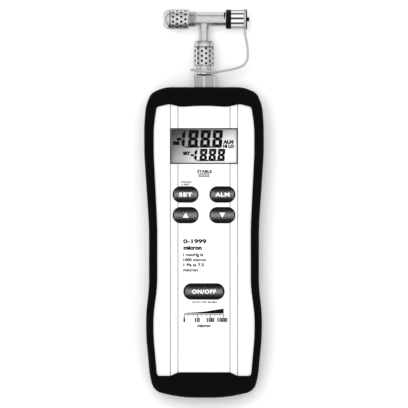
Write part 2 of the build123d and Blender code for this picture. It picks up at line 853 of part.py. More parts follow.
# Keypad mat: one rubber sheet with a hollow dome and a contact under each key
with BuildPart() as keypad_mat:
    with BuildSketch(Plane.XY.offset(board_front)):
        with Locations((0, (mat_top + mat_bottom) / 2)):
            RectangleRounded(mat_width, mat_top - mat_bottom, mat_thickness)
    extrude(amount=mat_thickness)
    upright = (Align.CENTER, Align.CENTER, Align.MIN)
    with Locations(*[(key_x, key_y, mat_front) for key_x, key_y, _ in keys.values()]):
        Cone(dome_base_radius, dome_top_radius, dome_height, align=upright)
    with Locations(*[(key_x, key_y, board_front) for key_x, key_y, _ in keys.values()]):
        Cone(
            dome_base_radius - dome_web, dome_top_radius - dome_web,
            mat_thickness + dome_height - dome_web, align=upright, mode=Mode.SUBTRACT,
        )
    with Locations(*[(key_x, key_y, board_front + pill_gap) for key_x, key_y, _ in keys.values()]):
        Cylinder(pill_radius, mat_thickness + dome_height - pill_gap, align=upright)
finish_part(keypad_mat.part, "keypad_mat")

# Main board, with holes for its screws and for the sensor's leads
lead_places = [
    ((number - (sensor_lead_count - 1) / 2) * sensor_lead_spacing, lead_foot_y)
    for number in range(sensor_lead_count)
]
with BuildPart() as main_board:
    with BuildSketch(Plane.XY.offset(board_back)):
        with Locations((0, (board_top + board_bottom) / 2)):
            RectangleRounded(board_width, board_top - board_bottom, board_corner)
        with Locations(*board_boss_places):
            Circle(board_screw_radius + seat_fit, mode=Mode.SUBTRACT)
        with Locations(*lead_places):
            Circle(sensor_lead_radius + seat_fit, mode=Mode.SUBTRACT)
    extrude(amount=board_thickness)
finish_part(main_board.part, "main_board")


def board_piece(name, x, y, width, length, height, legs=0):
    """A boxed piece on the back of the board, with a row of legs down each long side."""
    with BuildPart() as piece:
        with BuildSketch(Plane.XY.offset(board_back)):
            with Locations((x, y)):
                Rectangle(width, length)
        extrude(amount=-height)
        if legs:
            with BuildSketch(Plane.XY.offset(board_back)):
                with Locations((x, y)):
                    with GridLocations(0, chip_pin_pitch, 1, legs):
                        Rectangle(width + 2 * chip_pin_reach, chip_pin_width)
            extrude(amount=-chip_pin_height)
    finish_part(piece.part, name)


board_piece("processor_chip", 0, boot_top - chip_drop, chip_size, chip_size, chip_height, chip_legs)
board_piece(
    "converter_chip", 0, boot_top - converter_drop,
    converter_width, converter_length, converter_height, converter_legs,
)
board_piece("crystal", 0, boot_top - crystal_drop, crystal_length, crystal_width, crystal_height)

# Buzzer: a round can on the back of the board with its sound hole
with BuildPart() as buzzer:
    with BuildSketch(Plane.XY.offset(board_back)):
        with Locations((buzzer_x, boot_top - buzzer_drop)):
            Circle(buzzer_radius)
    extrude(amount=-buzzer_height)
    with BuildSketch(Plane.XY.offset(board_back - buzzer_height)):
        with Locations((buzzer_x, boot_top - buzzer_drop)):
            Circle(buzzer_hole_radius)
    extrude(amount=buzzer_height / 2, mode=Mode.SUBTRACT)
finish_part(buzzer.part, "buzzer")

# Capacitor: a can lying along the board
with BuildPart() as capacitor:
    can_level = board_back - capacitor_radius - seat_fit
    with BuildSketch(Plane((capacitor_x, boot_top - capacitor_drop, can_level), z_dir=(0, 1, 0))):
        Circle(capacitor_radius)
    extrude(amount=capacitor_length)
finish_part(capacitor.part, "capacitor")

# Battery: a block on its back with its two terminals towards the snap
with BuildPart() as battery:
    with BuildSketch(Plane.XZ.offset(-battery_bottom)):
        with Locations((0, battery_middle)):
            RectangleRounded(battery_width, battery_depth, battery_corner)
    extrude(amount=-battery_length)
    with BuildSketch(Plane.XZ.offset(-battery_top)):
        with Locations((0, battery_middle)):
            with GridLocations(terminal_spacing, 0, 2, 1):
                Circle(terminal_radius)
    extrude(amount=-terminal_length)
finish_part(battery.part, "battery")

# Battery snap: a soft block pressed over both terminals
with BuildPart() as battery_snap:
    with BuildSketch(Plane.XZ.offset(-battery_top)):
        with Locations((0, battery_middle)):
            RectangleRounded(snap_length, snap_width, battery_corner)
    extrude(amount=-snap_thickness)
    with BuildSketch(Plane.XZ.offset(-battery_top)):
        with Locations((0, battery_middle)):
            with GridLocations(terminal_spacing, 0, 2, 1):
                Circle(terminal_radius + seat_fit)
    extrude(amount=-terminal_length - seat_fit, mode=Mode.SUBTRACT)
finish_part(battery_snap.part, "battery_snap")


def wire_part(name, routes, radius):
    """Round wires along straight runs with tangent arcs."""
    with BuildPart() as wires:
        for route in routes:
            bends = [bend_radius(*corners, wire_bend_share) for corners in zip(route, route[1:], route[2:])]
            with BuildLine():
                path = FilletPolyline(*route, radius=bends)
            with BuildSketch(Plane(origin=path @ 0, z_dir=path % 0)):
                Circle(radius)
            sweep(path=path)
    finish_part(wires.part, name)


# Battery leads, from the snap up to the back of the board
for lead_name, lead_x in (("red_lead", -lead_spacing), ("black_lead", lead_spacing)):
    snap_end = battery_top + snap_thickness
    wire_part(lead_name, [[
        (lead_x, snap_end, battery_middle),
        (lead_x, snap_end + lead_reach, battery_middle),
        (lead_x, snap_end + lead_reach + lead_slant, board_back - lead_rise),
        (lead_x, snap_end + lead_reach + lead_slant, board_back),
    ]], lead_radius)

# Sensor port: a hexagon on the case, a stem through it and a neck up to a male flare
with BuildPart() as sensor_port:
    with BuildSketch(axis_plane):
        with BuildLine():
            Polyline(
                (0, stem_end),
                (stem_radius, stem_end),
                (stem_radius, case_top),
                (neck_radius, case_top),
                (neck_radius, port_thread_start),
                (flare_radius, port_thread_start),
                (flare_radius, port_thread_end),
                (flare_nose_radius, port_nose),
                (0, port_nose),
                close=True,
            )
        make_face()
    revolve(axis=branch_axis)
    with BuildSketch(across(case_top)) as hexagon:
        RegularPolygon(hex_flats / 2, 6, major_radius=False, rotation=30)
        chamfer(hexagon.vertices(), length=hex_edge)
    extrude(amount=hex_top - case_top)
    with BuildSketch(axis_plane):
        with BuildLine():
            Polyline(
                (hex_corner_radius - hex_chamfer, hex_top),
                (hex_corner_radius + hex_chamfer, hex_top),
                (hex_corner_radius + hex_chamfer, hex_top - hex_chamfer * tan(radians(60))),
                close=True,
            )
        make_face()
    revolve(axis=branch_axis, mode=Mode.SUBTRACT)
    with BuildSketch(across(stem_end)):
        Circle(sensor_stub_radius + seat_fit)
    extrude(amount=sensor_stub_length + seat_fit, mode=Mode.SUBTRACT)
    with BuildSketch(across(stem_end)):
        Circle(flow_radius)
    extrude(amount=port_nose - stem_end, mode=Mode.SUBTRACT)
finish_part(sensor_port.part, "sensor_port")

# Sensor element: a can on the end of the stem, with a stub in the port's bore
with BuildPart() as sensor_element:
    with BuildSketch(across(sensor_end)):
        Circle(sensor_radius)
    extrude(amount=sensor_length)
    with BuildSketch(across(stem_end)):
        Circle(sensor_stub_radius)
    extrude(amount=sensor_stub_length)
finish_part(sensor_element.part, "sensor_element")

wire_part("sensor_leads", [
    [(x, sensor_end, port_z), (x, y, port_z), (x, y, board_front + sensor_lead_tail)]
    for x, y in lead_places
], sensor_lead_radius)


def ring_part(name, start, length, inner_radius, outer_radius):
    """A plain ring round the port's axis."""
    with BuildPart() as ring:
        with BuildSketch(across(start)):
            Circle(outer_radius)
            Circle(inner_radius, mode=Mode.SUBTRACT)
        extrude(amount=length)
    finish_part(ring.part, name)


ring_part("port_seal_ring", hex_top, seal_ring_height, neck_radius, seal_ring_outer)
ring_part(
    "sensor_lock_washer", cavity_top - lock_washer_thickness, lock_washer_thickness,
    stem_radius + stem_thread_play, lock_washer_outer,
)

with BuildPart() as sensor_lock_nut:
    with BuildSketch(across(cavity_top - lock_washer_thickness - lock_nut_height)):
        RegularPolygon(lock_nut_flats / 2, 6, major_radius=False, rotation=30)
        Circle(stem_radius + stem_thread_play, mode=Mode.SUBTRACT)
    extrude(amount=lock_nut_height)
finish_part(sensor_lock_nut.part, "sensor_lock_nut")

# Tee: a bar with a male flare at each end, and a branch with a flared foot, bored through
with BuildPart() as tee_fitting:
    with BuildSketch(axis_plane):
        with BuildLine():
            Polyline(
                (-left_nose, run_y),
                (-left_nose, run_y + flare_nose_radius),
                (-left_thread_end, run_y + flare_radius),
                (-left_thread_start, run_y + flare_radius),
                (-left_thread_start, run_y + run_radius),
                (right_thread_start, run_y + run_radius),
                (right_thread_start, run_y + flare_radius),
                (right_thread_end, run_y + flare_radius),
                (right_nose, run_y + flare_nose_radius),
                (right_nose, run_y),
                close=True,
            )
        make_face()
    revolve(axis=run_axis)
    with BuildSketch(axis_plane):
        with BuildLine():
            Polyline(
                (0, branch_end),
                (branch_flare_radius, branch_end),
                (branch_flare_radius, branch_shoulder),
                (branch_radius, branch_shoulder_end),
                (branch_radius, run_y),
                (0, run_y),
                close=True,
            )
        make_face()
    revolve(axis=branch_axis)
    saddle = tee_fitting.edges().filter_by(on_saddle)
    fillet(saddle, radius=branch_fillet)
    with BuildSketch(axis_plane):
        with BuildLine():
            Polyline(
                (0, branch_end),
                (branch_flare_radius, branch_end),
                (flow_radius, branch_mouth),
                (flow_radius, run_y),
                (0, run_y),
                close=True,
            )
        make_face()
    revolve(axis=branch_axis, mode=Mode.SUBTRACT)
    with BuildSketch(along_run(-left_nose)):
        Circle(flow_radius)
    extrude(amount=left_nose + right_nose, mode=Mode.SUBTRACT)
finish_part(tee_fitting.part, "tee_fitting")

# Swivel nut: a knurled sleeve with a domed top that pulls the tee's flare onto the port
with BuildPart() as swivel_nut:
    with BuildSketch(axis_plane):
        with BuildLine():
            dome_start = nut_bottom + nut_knurl_length
            Polyline(
                (nut_hole_radius, nut_top),
                (nut_hole_radius, nut_shoulder_end),
                (bore_radius, nut_shoulder),
                (bore_radius, nut_bottom),
                (nut_radius - nut_edge, nut_bottom),
                (nut_radius, nut_bottom + nut_edge),
                (nut_radius, dome_start),
            )
            dome_middle = dome_point(nut_dome_radius, dome_start, nut_radius, nut_dome_length)
            ThreePointArc((nut_radius, dome_start), dome_middle, (nut_dome_radius, nut_top))
            Line((nut_dome_radius, nut_top), (nut_hole_radius, nut_top))
        make_face()
    revolve(axis=branch_axis)
finish_part(swivel_nut.part, "swivel_nut")

# Knurled cap: a closed sleeve with a domed end over the tee's left flare
with BuildPart() as knurled_cap:
    with BuildSketch(axis_plane):
        with BuildLine():
            Polyline(
                (-cap_end, run_y),
                (-cap_bore_end, run_y),
                (-cap_bore_end, run_y + bore_radius),
                (-cap_mouth, run_y + bore_radius),
                (-cap_mouth, run_y + nut_radius - nut_edge),
                (-cap_mouth - nut_edge, run_y + nut_radius),
                (-cap_knurl_end, run_y + nut_radius),
            )
            rise, reach = dome_point(cap_dome_radius, 0, nut_radius, cap_dome_length)
            ThreePointArc(
                (-cap_knurl_end, run_y + nut_radius),
                (-cap_knurl_end - reach, run_y + rise),
                (-cap_end, run_y + cap_dome_radius),
            )
            Line((-cap_end, run_y + cap_dome_radius), (-cap_end, run_y))
        make_face()
    revolve(axis=run_axis)
finish_part(knurled_cap.part, "knurled_cap")


def run_disc(name, start, length, radius, hole_radius=0.0):
    """A plain disc or ring round the run's axis."""
    with BuildPart() as disc:
        with BuildSketch(along_run(start)):
            Circle(radius)
            if hole_radius > 0:
                Circle(hole_radius, mode=Mode.SUBTRACT)
        extrude(amount=length)
    finish_part(disc.part, name)


run_disc("cap_seal", -cap_bore_end, cap_seal_thickness, bore_radius - seat_fit)
run_disc("dust_seal", dust_seal_start, dust_seal_thickness, bore_radius - seat_fit)
run_disc("cap_band", dust_mouth, band_length, band_radius, skirt_radius)
run_disc("tether_washer", disc_end, washer_thickness, washer_radius, stud_radius)

# Ribbed dust cap: a plastic cap with a plain skirt under its band and ribs beyond it
with BuildPart() as ribbed_cap:
    with BuildSketch(along_run(dust_mouth)):
        Circle(skirt_radius)
    extrude(amount=band_length)
    with BuildSketch(along_run(band_end)):
        Circle(rib_root_radius)
        with PolarLocations(rib_root_radius, rib_count, start_angle=rib_turn):
            Rectangle(2 * (rib_radius - rib_root_radius), rib_width)
    extrude(amount=ribbed_length)
    with BuildSketch(along_run(dust_mouth)):
        Circle(bore_radius)
    extrude(amount=dust_bore_end - dust_mouth, mode=Mode.SUBTRACT)
    with BuildSketch(along_run(dust_bore_end)):
        Circle(stud_head_radius + seat_fit)
    extrude(amount=stud_head_thickness + seat_fit, mode=Mode.SUBTRACT)
    with BuildSketch(along_run(dust_bore_end)):
        Circle(stud_radius + seat_fit)
    extrude(amount=dust_end - dust_bore_end, mode=Mode.SUBTRACT)
finish_part(ribbed_cap.part, "ribbed_cap")

# Tether stud: a rivet through the dust cap, the tether's disc and the washer
with BuildPart() as tether_stud:
    stud_head_end = dust_bore_end + stud_head_thickness + seat_fit
    with BuildSketch(along_run(stud_head_end)):
        Circle(stud_head_radius)
    extrude(amount=-stud_head_thickness)
    with BuildSketch(along_run(stud_head_end)):
        Circle(stud_radius)
    extrude(amount=washer_end + stud_tail - stud_head_end)
finish_part(tether_stud.part, "tether_stud")

# Cap tether: a disc under the washer, a strap down and a tilted ring round the port's neck
ring_plane = Plane(
    origin=(0, ring_y, port_z - ring_sag),
    x_dir=(cos(radians(ring_tilt)), -sin(radians(ring_tilt)), 0),
    z_dir=(sin(radians(ring_tilt)), cos(radians(ring_tilt)), 0),
)
strap_root_x = (ring_inner_radius + ring_outer_radius) / 2
strap_points = [
    (disc_middle, run_y - tether_disc_radius + strap_thickness),
    (disc_middle, run_y - tether_disc_radius - strap_neck),
    (disc_middle + strap_bow, run_y - strap_knee_drop),
    (disc_middle + strap_heel_inset, ring_y + strap_heel_rise),
    (strap_toe_x, ring_y + strap_toe_rise),
    (strap_root_x, ring_y - strap_root_x * tan(radians(ring_tilt))),
]
with BuildPart() as cap_tether:
    with BuildSketch(along_run(dust_end)):
        Circle(tether_disc_radius)
    extrude(amount=tether_disc_thickness)
    with BuildSketch(Plane.XY.offset(port_z - strap_width / 2)):
        with BuildLine():
            strap_line = FilletPolyline(*strap_points, radius=strap_radii)
        trace(line_width=strap_thickness)
    extrude(amount=strap_width)
    with BuildSketch(along_run(dust_end)):
        Circle(stud_radius + moving_gap)
    extrude(amount=tether_disc_thickness, mode=Mode.SUBTRACT)
    with BuildSketch(ring_plane.offset(-strap_thickness / 2)):
        Circle(ring_outer_radius)
    extrude(amount=strap_thickness)
    with BuildSketch(ring_plane.offset(-strap_thickness)):
        Circle(ring_inner_radius)
    extrude(amount=2 * strap_thickness, mode=Mode.SUBTRACT)
finish_part(cap_tether.part, "cap_tether")
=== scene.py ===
"""Looks of a handheld vacuum gauge with a flare tee on its port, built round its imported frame.

Metres, in the frame of the CAD: +X is right and +Y is up as the face is read, and +Z comes
out of the face. The gauge lies on its back and the camera looks straight down on it.
"""
import json
from math import atan2, ceil, cos, hypot, log10, pi, radians, sin, sqrt, tan

import bmesh
import bpy
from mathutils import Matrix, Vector

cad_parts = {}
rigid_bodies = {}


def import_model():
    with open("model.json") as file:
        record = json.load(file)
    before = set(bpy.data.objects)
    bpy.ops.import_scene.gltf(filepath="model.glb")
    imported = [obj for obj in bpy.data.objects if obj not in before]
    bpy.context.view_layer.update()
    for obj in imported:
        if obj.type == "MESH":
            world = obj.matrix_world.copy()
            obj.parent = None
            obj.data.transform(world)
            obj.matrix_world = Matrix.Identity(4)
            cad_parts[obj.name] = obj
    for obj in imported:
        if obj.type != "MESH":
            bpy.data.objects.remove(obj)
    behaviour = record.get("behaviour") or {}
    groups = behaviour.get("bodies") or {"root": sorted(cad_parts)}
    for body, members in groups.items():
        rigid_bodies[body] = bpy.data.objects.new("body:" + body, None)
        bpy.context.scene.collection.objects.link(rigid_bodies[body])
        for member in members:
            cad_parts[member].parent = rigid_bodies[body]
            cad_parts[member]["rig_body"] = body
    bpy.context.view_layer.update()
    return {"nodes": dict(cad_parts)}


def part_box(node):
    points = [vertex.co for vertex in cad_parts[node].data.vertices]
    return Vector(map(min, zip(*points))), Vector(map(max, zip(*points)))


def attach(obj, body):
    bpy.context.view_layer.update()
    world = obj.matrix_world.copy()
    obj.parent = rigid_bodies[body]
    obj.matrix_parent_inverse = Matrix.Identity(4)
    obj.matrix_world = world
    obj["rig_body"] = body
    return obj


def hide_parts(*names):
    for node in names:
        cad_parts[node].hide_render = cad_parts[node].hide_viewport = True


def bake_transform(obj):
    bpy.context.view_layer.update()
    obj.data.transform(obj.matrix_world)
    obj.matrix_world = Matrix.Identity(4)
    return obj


MM = 0.001
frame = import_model()
nodes = frame["nodes"]


def middle_and_size(node):
    """Middle and size of a node's box at rest."""
    low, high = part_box(node)
    return (low + high) / 2, high - low


# Places that the frame gives
run_middle, run_size = middle_and_size("knurled_cap")
nut_middle, nut_size = middle_and_size("swivel_nut")
window_middle, window_size = middle_and_size("lcd_window")
panel_middle, panel_size = middle_and_size("lcd_panel")
light_middle, light_size = middle_and_size("stable_lens")
run_y = run_middle.y
port_z = run_middle.z
glass_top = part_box("lcd_panel")[1].z
plateau_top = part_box("front_case")[1].z
cover_low, cover_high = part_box("battery_cover")

# Materials


class Material:
    """A principled material whose colour, roughness and grain are built from nodes."""

    def __init__(self, name, colour, roughness, **sockets):
        self.data = bpy.data.materials.new(name)
        self.data.use_nodes = True
        self.nodes = self.data.node_tree.nodes
        self.links = self.data.node_tree.links
        self.shader = self.nodes["Principled BSDF"]
        self.colour = (*colour, 1.0)
        self.shader.inputs["Base Color"].default_value = self.colour
        self.shader.inputs["Roughness"].default_value = roughness
        self.roughness = roughness
        for socket, value in sockets.items():
            self.shader.inputs[socket.replace("_", " ")].default_value = value
        self.place = self.nodes.new("ShaderNodeTexCoord").outputs["Object"]

    def noise(self, size, detail=3.0, stretch=None):
        """Noise whose cells are about a size across, stretched along the axes if asked."""
        noise = self.nodes.new("ShaderNodeTexNoise")
        noise.inputs["Scale"].default_value = 1 / size
        noise.inputs["Detail"].default_value = detail
        source = self.place
        if stretch:
            mapping = self.nodes.new("ShaderNodeMapping")
            mapping.inputs["Scale"].default_value = stretch
            self.links.new(self.place, mapping.inputs["Vector"])
            source = mapping.outputs["Vector"]
        self.links.new(source, noise.inputs["Vector"])
        return noise.outputs["Fac"]

    def ramp(self, factor, *stops):
        """Colour ramp through stops of a place and a colour or a grey."""
        ramp = self.nodes.new("ShaderNodeValToRGB")
        elements = ramp.color_ramp.elements
        while len(elements) < len(stops):
            elements.new(0.5)
        for element, (place, colour) in zip(elements, stops):
            element.position = place
            grey = not hasattr(colour, "__len__")
            element.color = (colour, colour, colour, 1.0) if grey else (*colour, 1.0)
        self.links.new(factor, ramp.inputs["Fac"])
        return ramp.outputs["Color"]

    def math(self, operation, first, second=0.0):
        """One step of arithmetic on values or sockets."""
        step = self.nodes.new("ShaderNodeMath")
        step.operation = operation
        for socket, value in zip(step.inputs, (first, second)):
            if isinstance(value, (int, float)):
                socket.default_value = value
            else:
                self.links.new(value, socket)
        return step.outputs["Value"]

    def axis(self, name):
        """The place along one axis."""
        split = self.nodes.new("ShaderNodeSeparateXYZ")
        self.links.new(self.place, split.inputs["Vector"])
        return split.outputs[name]

    def mix(self, factor, first, second):
        """Mixes two colours by a factor, each a socket or a colour."""
        mix = self.nodes.new("ShaderNodeMix")
        mix.data_type = "RGBA"
        self.links.new(factor, mix.inputs["Factor"])
        for name, value in (("A", first), ("B", second)):
            socket = [s for s in mix.inputs if s.name == name and s.type == "RGBA"][0]
            if hasattr(value, "__len__"):
                socket.default_value = (*value, 1.0)
            else:
                self.links.new(value, socket)
        return [s for s in mix.outputs if s.type == "RGBA"][0]

    def paint(self, colour):
        self.links.new(colour, self.shader.inputs["Base Color"])
        return self

    def mottle(self, size, amount):
        """Lets the colour and the gloss drift a little over patches of a size."""
        noise = self.noise(size, detail=4.0)
        red, green, blue, _ = self.colour
        dark = (red * (1 - amount), green * (1 - amount), blue * (1 - amount))
        light = (red * (1 + amount), green * (1 + amount), blue * (1 + amount))
        self.paint(self.ramp(noise, (0.3, dark), (0.7, [min(1.0, part) for part in light])))
        low, high = self.roughness * (1 - amount), min(1.0, self.roughness * (1 + amount))
        self.links.new(self.ramp(noise, (0.3, low), (0.7, high)), self.shader.inputs["Roughness"])
        return self

    def grain(self, size, depth, stretch=None):
        """Roughens the surface with bumps of a size and a depth."""
        bump = self.nodes.new("ShaderNodeBump")
        bump.inputs["Distance"].default_value = depth
        self.links.new(self.noise(size, stretch=stretch), bump.inputs["Height"])
        self.links.new(bump.outputs["Normal"], self.shader.inputs["Normal"])
        return self


black_rubber = Material("black_rubber", (0.002, 0.002, 0.0022), 0.75, Specular_IOR_Level=0.06)
black_rubber.mottle(9 * MM, 0.2).grain(0.35 * MM, 0.02 * MM)
white_plastic = Material("white_plastic", (0.84, 0.84, 0.835), 0.42)
white_plastic.mottle(14 * MM, 0.012).grain(0.5 * MM, 0.006 * MM)
clear_plastic = Material("clear_plastic", (0.02, 0.021, 0.022), 0.05, Alpha=0.05, Specular_IOR_Level=0.3)
clear_plastic.grain(6 * MM, 0.003 * MM)
milky_plastic = Material("milky_plastic", (0.4, 0.4, 0.395), 0.36, Subsurface_Weight=0.1, Subsurface_Scale=1 * MM)
milky_plastic.mottle(5 * MM, 0.03).grain(1.2 * MM, 0.008 * MM)
dark_plastic = Material("dark_plastic", (0.03, 0.03, 0.032), 0.45)
dark_plastic.mottle(4 * MM, 0.1).grain(0.3 * MM, 0.008 * MM)
black_plastic = Material("black_plastic", (0.003, 0.003, 0.003), 0.5, Specular_IOR_Level=0.1)
black_plastic.mottle(3 * MM, 0.12).grain(0.4 * MM, 0.008 * MM)
# Black ink for print, also used for the painted shadow line round the stable light's lens.
ink_and_painted_shade = Material("black_ink_and_painted_shade", (0.003, 0.003, 0.003), 0.6, Specular_IOR_Level=0.1)
ink_and_painted_shade.mottle(0.6 * MM, 0.15)
white_ink = Material("white_ink", (0.93, 0.93, 0.93), 0.45)
white_ink.mottle(0.6 * MM, 0.03)
segment_ink = Material("display_segments", (0.002, 0.002, 0.003), 0.6, Specular_IOR_Level=0.02)
segment_ink.mottle(1.5 * MM, 0.2)
dark_rim = (0.0, 0.0, 0.0, 1.0)
nickel = Material("nickel_plate", (0.74, 0.735, 0.72), 0.2, Metallic=1.0, Specular_Tint=dark_rim)
nickel.mottle(3 * MM, 0.05).grain(0.25 * MM, 0.003 * MM)
steel = Material("zinc_plate", (0.62, 0.63, 0.65), 0.33, Metallic=1.0)
steel.mottle(2 * MM, 0.08).grain(0.4 * MM, 0.004 * MM)
seal_rubber = Material("seal_rubber", (0.004, 0.004, 0.004), 0.6, Specular_IOR_Level=0.1)
seal_rubber.mottle(2 * MM, 0.1).grain(0.3 * MM, 0.01 * MM)
mat_rubber = Material("mat_rubber", (0.42, 0.42, 0.44), 0.6)
mat_rubber.mottle(6 * MM, 0.06).grain(0.5 * MM, 0.01 * MM)
contact_rubber = Material("contact_rubber", (0.2, 0.1, 0.14), 0.55)
contact_rubber.mottle(1 * MM, 0.3).grain(0.2 * MM, 0.01 * MM, stretch=(8, 0.2, 0.2))
solder_mask = Material("solder_mask", (0.01, 0.16, 0.06), 0.35)
solder_mask.mottle(2.5 * MM, 0.25).grain(0.8 * MM, 0.01 * MM)
chip_epoxy = Material("chip_epoxy", (0.02, 0.02, 0.022), 0.55)
chip_epoxy.mottle(2 * MM, 0.15).grain(0.15 * MM, 0.008 * MM)
red_sheath = Material("red_sheath", (0.5, 0.015, 0.01), 0.4)
red_sheath.mottle(2 * MM, 0.1).grain(0.5 * MM, 0.006 * MM)
black_sheath = Material("black_sheath", (0.01, 0.01, 0.01), 0.4)
black_sheath.mottle(2 * MM, 0.1).grain(0.5 * MM, 0.006 * MM)
battery_jacket = Material("battery_jacket", (0.06, 0.06, 0.07), 0.35, Metallic=0.4)
battery_jacket.mottle(8 * MM, 0.15).grain(1.5 * MM, 0.006 * MM)


def display_material():
    """Display glass whose painted reflection and shade run from nearly black at its upper left to white at its lower
    right.
    """
    glass = Material("display_glass", (0.5, 0.5, 0.5), 0.3)
    left, top = window_middle.x - window_size.x / 2, window_middle.y + window_size.y / 2
    across = glass.math("DIVIDE", glass.math("SUBTRACT", glass.axis("X"), left), window_size.x)
    down = glass.math("DIVIDE", glass.math("SUBTRACT", top, glass.axis("Y")), window_size.y)
    painted_light = glass.math("ADD", glass.math("MULTIPLY", across, 0.56), glass.math("MULTIPLY", down, 0.41))
    corner = glass.math("MULTIPLY", glass.math("MULTIPLY", across, down), 0.4)
    painted_light = glass.math("ADD", painted_light, corner)
    cloud = glass.math("MULTIPLY", glass.math("SUBTRACT", glass.noise(9 * MM, detail=1.0), 0.5), 0.1)
    painted_light = glass.math("ADD", painted_light, cloud)
    # Painted reflection and shade: the ramp turns each place on the glass into a dark-to-white gradient.
    stops = (0.0, 0.004), (0.12, 0.035), (0.3, 0.2), (0.55, 0.56), (0.85, 0.95), (1.0, 1.0)
    glass.paint(glass.ramp(painted_light, *stops))
    return glass.grain(0.3 * MM, 0.002 * MM)


def key_material(name, middle, size):
    """Key plastic with a painted highlight: grey along its middle and nearly black towards its long edges."""
    plastic = Material(name, (0.05, 0.05, 0.05), 0.45, Specular_IOR_Level=0.12)
    off = plastic.math("ABSOLUTE", plastic.math("SUBTRACT", plastic.axis("Y"), middle.y))
    off = plastic.math("DIVIDE", off, size.y / 2)
    along = plastic.math("ABSOLUTE", plastic.math("SUBTRACT", plastic.axis("X"), middle.x))
    end = plastic.math("SUBTRACT", plastic.math("DIVIDE", along, size.x / 2), 0.86)
    off = plastic.math("MAXIMUM", off, plastic.math("MULTIPLY", end, 6.0))
    speckle = plastic.math("MULTIPLY", plastic.math("SUBTRACT", plastic.noise(0.9 * MM), 0.5), 0.9)
    off = plastic.math("ADD", off, speckle)
    # Painted highlight and shade of the crowned key: grey in the middle band, black towards the edges and ends.
    plastic.paint(plastic.ramp(off, (0.0, 0.2), (0.24, 0.12), (0.46, 0.025), (0.66, 0.004)))
    return plastic.grain(0.25 * MM, 0.006 * MM)


def ribbed_material():
    """White cap plastic whose grooves are dark with shade."""
    plastic = Material("ribbed_plastic", (0.8, 0.8, 0.79), 0.4)
    height = plastic.math("SUBTRACT", plastic.axis("Z"), port_z)
    side = plastic.math("SUBTRACT", plastic.axis("Y"), run_y)
    square = plastic.math("ADD", plastic.math("MULTIPLY", height, height), plastic.math("MULTIPLY", side, side))
    radius = plastic.math("SQRT", square)
    rib_low, rib_high = 6.5 * MM, 7.06 * MM
    rise = plastic.math("DIVIDE", plastic.math("SUBTRACT", radius, rib_low), rib_high - rib_low)
    # Painted shade: black in the grooves and darker on the rib corners.
    plastic.paint(plastic.ramp(rise, (0.0, 0.01), (0.6, 0.02), (0.78, 0.8), (0.88, 0.72), (0.99, 0.25)))
    return plastic.grain(0.4 * MM, 0.006 * MM)


def knurl_material():
    """Nickel plate painted black as shade in the pits, by how deep each point lies, and in the seam."""
    plate = Material("knurled_nickel", (0.78, 0.775, 0.76), 0.26, Metallic=1.0, Specular_Tint=dark_rim)
    pit = plate.nodes.new("ShaderNodeAttribute")
    pit.attribute_name = "pit"
    depth = pit.outputs["Fac"]
    tone = plate.ramp(plate.noise(2 * MM), (0.3, (0.74, 0.735, 0.72)), (0.7, (0.82, 0.815, 0.8)))
    # Painted shade: black, matt and not metal where the pit mark is high.
    plate.paint(plate.mix(plate.ramp(depth, (0.2, 0.0), (0.45, 1.0)), tone, (0.004, 0.004, 0.004)))
    plate.links.new(plate.ramp(depth, (0.2, 1.0), (0.45, 0.0)), plate.shader.inputs["Metallic"])
    plate.links.new(plate.ramp(depth, (0.2, 0.26), (0.45, 0.8)), plate.shader.inputs["Roughness"])
    return plate.grain(0.3 * MM, 0.003 * MM)


def face_material():
    """White case plastic with shade in the two creases along each side of the face."""
    plastic = Material("face_plastic", (0.84, 0.84, 0.835), 0.42)
    across = plastic.math("ABSOLUTE", plastic.axis("X"))
    offs = [
        plastic.math("ABSOLUTE", plastic.math("SUBTRACT", across, crease * MM))
        for crease in (19.0, 24.6)
    ]
    off = plastic.math("DIVIDE", plastic.math("MINIMUM", *offs), 0.45 * MM)
    drift = plastic.math("MULTIPLY", plastic.math("SUBTRACT", plastic.noise(14 * MM), 0.5), 0.05)
    off = plastic.math("ADD", off, drift)
    plastic.paint(plastic.ramp(off, (0.0, 0.2), (0.55, 0.26), (0.95, (0.84, 0.84, 0.835))))
    return plastic.grain(0.5 * MM, 0.006 * MM)


def thread_material():
    """Nickel plate that is dark with shade between the thread's ridges."""
    plate = Material("thread_nickel", (0.74, 0.735, 0.72), 0.2, Metallic=1.0, Specular_Tint=dark_rim)
    height = plate.math("SUBTRACT", plate.axis("Z"), port_z)
    side = plate.math("SUBTRACT", plate.axis("Y"), run_y)
    square = plate.math("ADD", plate.math("MULTIPLY", height, height), plate.math("MULTIPLY", side, side))
    rise = plate.math("DIVIDE", plate.math("SUBTRACT", plate.math("SQRT", square), 4.95 * MM), 0.6 * MM)
    plate.paint(plate.ramp(rise, (0.0, 0.01), (0.42, 0.03), (0.6, 0.74)))
    return plate.grain(0.25 * MM, 0.003 * MM)


by_node = {
    black_rubber: "rubber_boot",
    face_material(): "front_case",
    white_plastic: "rear_case battery_cover",
    steel: "battery_cover_screw case_screws board_screws crystal sensor_element sensor_leads sensor_lock_washer",
    clear_plastic: "lcd_window",
    display_material(): "lcd_panel",
    contact_rubber: "contact_strips",
    dark_plastic: "lcd_frame buzzer capacitor",
    milky_plastic: "stable_lens stable_led",
    mat_rubber: "keypad_mat",
    solder_mask: "main_board",
    chip_epoxy: "processor_chip converter_chip",
    battery_jacket: "battery",
    black_plastic: "battery_snap cap_band tether_stud tether_washer",
    red_sheath: "red_lead",
    black_sheath: "black_lead",
    nickel: "sensor_port sensor_lock_nut",
    seal_rubber: "port_seal_ring cap_seal dust_seal",
    ribbed_material(): "ribbed_cap",
}
for material, names in by_node.items():
    for name in names.split():
        nodes[name].data.materials.clear()
        nodes[name].data.materials.append(material.data)

key_names = ("set_key", "alarm_key", "up_key", "down_key", "power_key")
key_flange = 1.3 * MM
for name in key_names:
    middle, size = middle_and_size(name)
    cap_size = size - Vector((2 * key_flange, 2 * key_flange, 0))
    nodes[name].data.materials.clear()
    nodes[name].data.materials.append(key_material(f"{name}_plastic", middle, cap_size).data)


# Building meshes


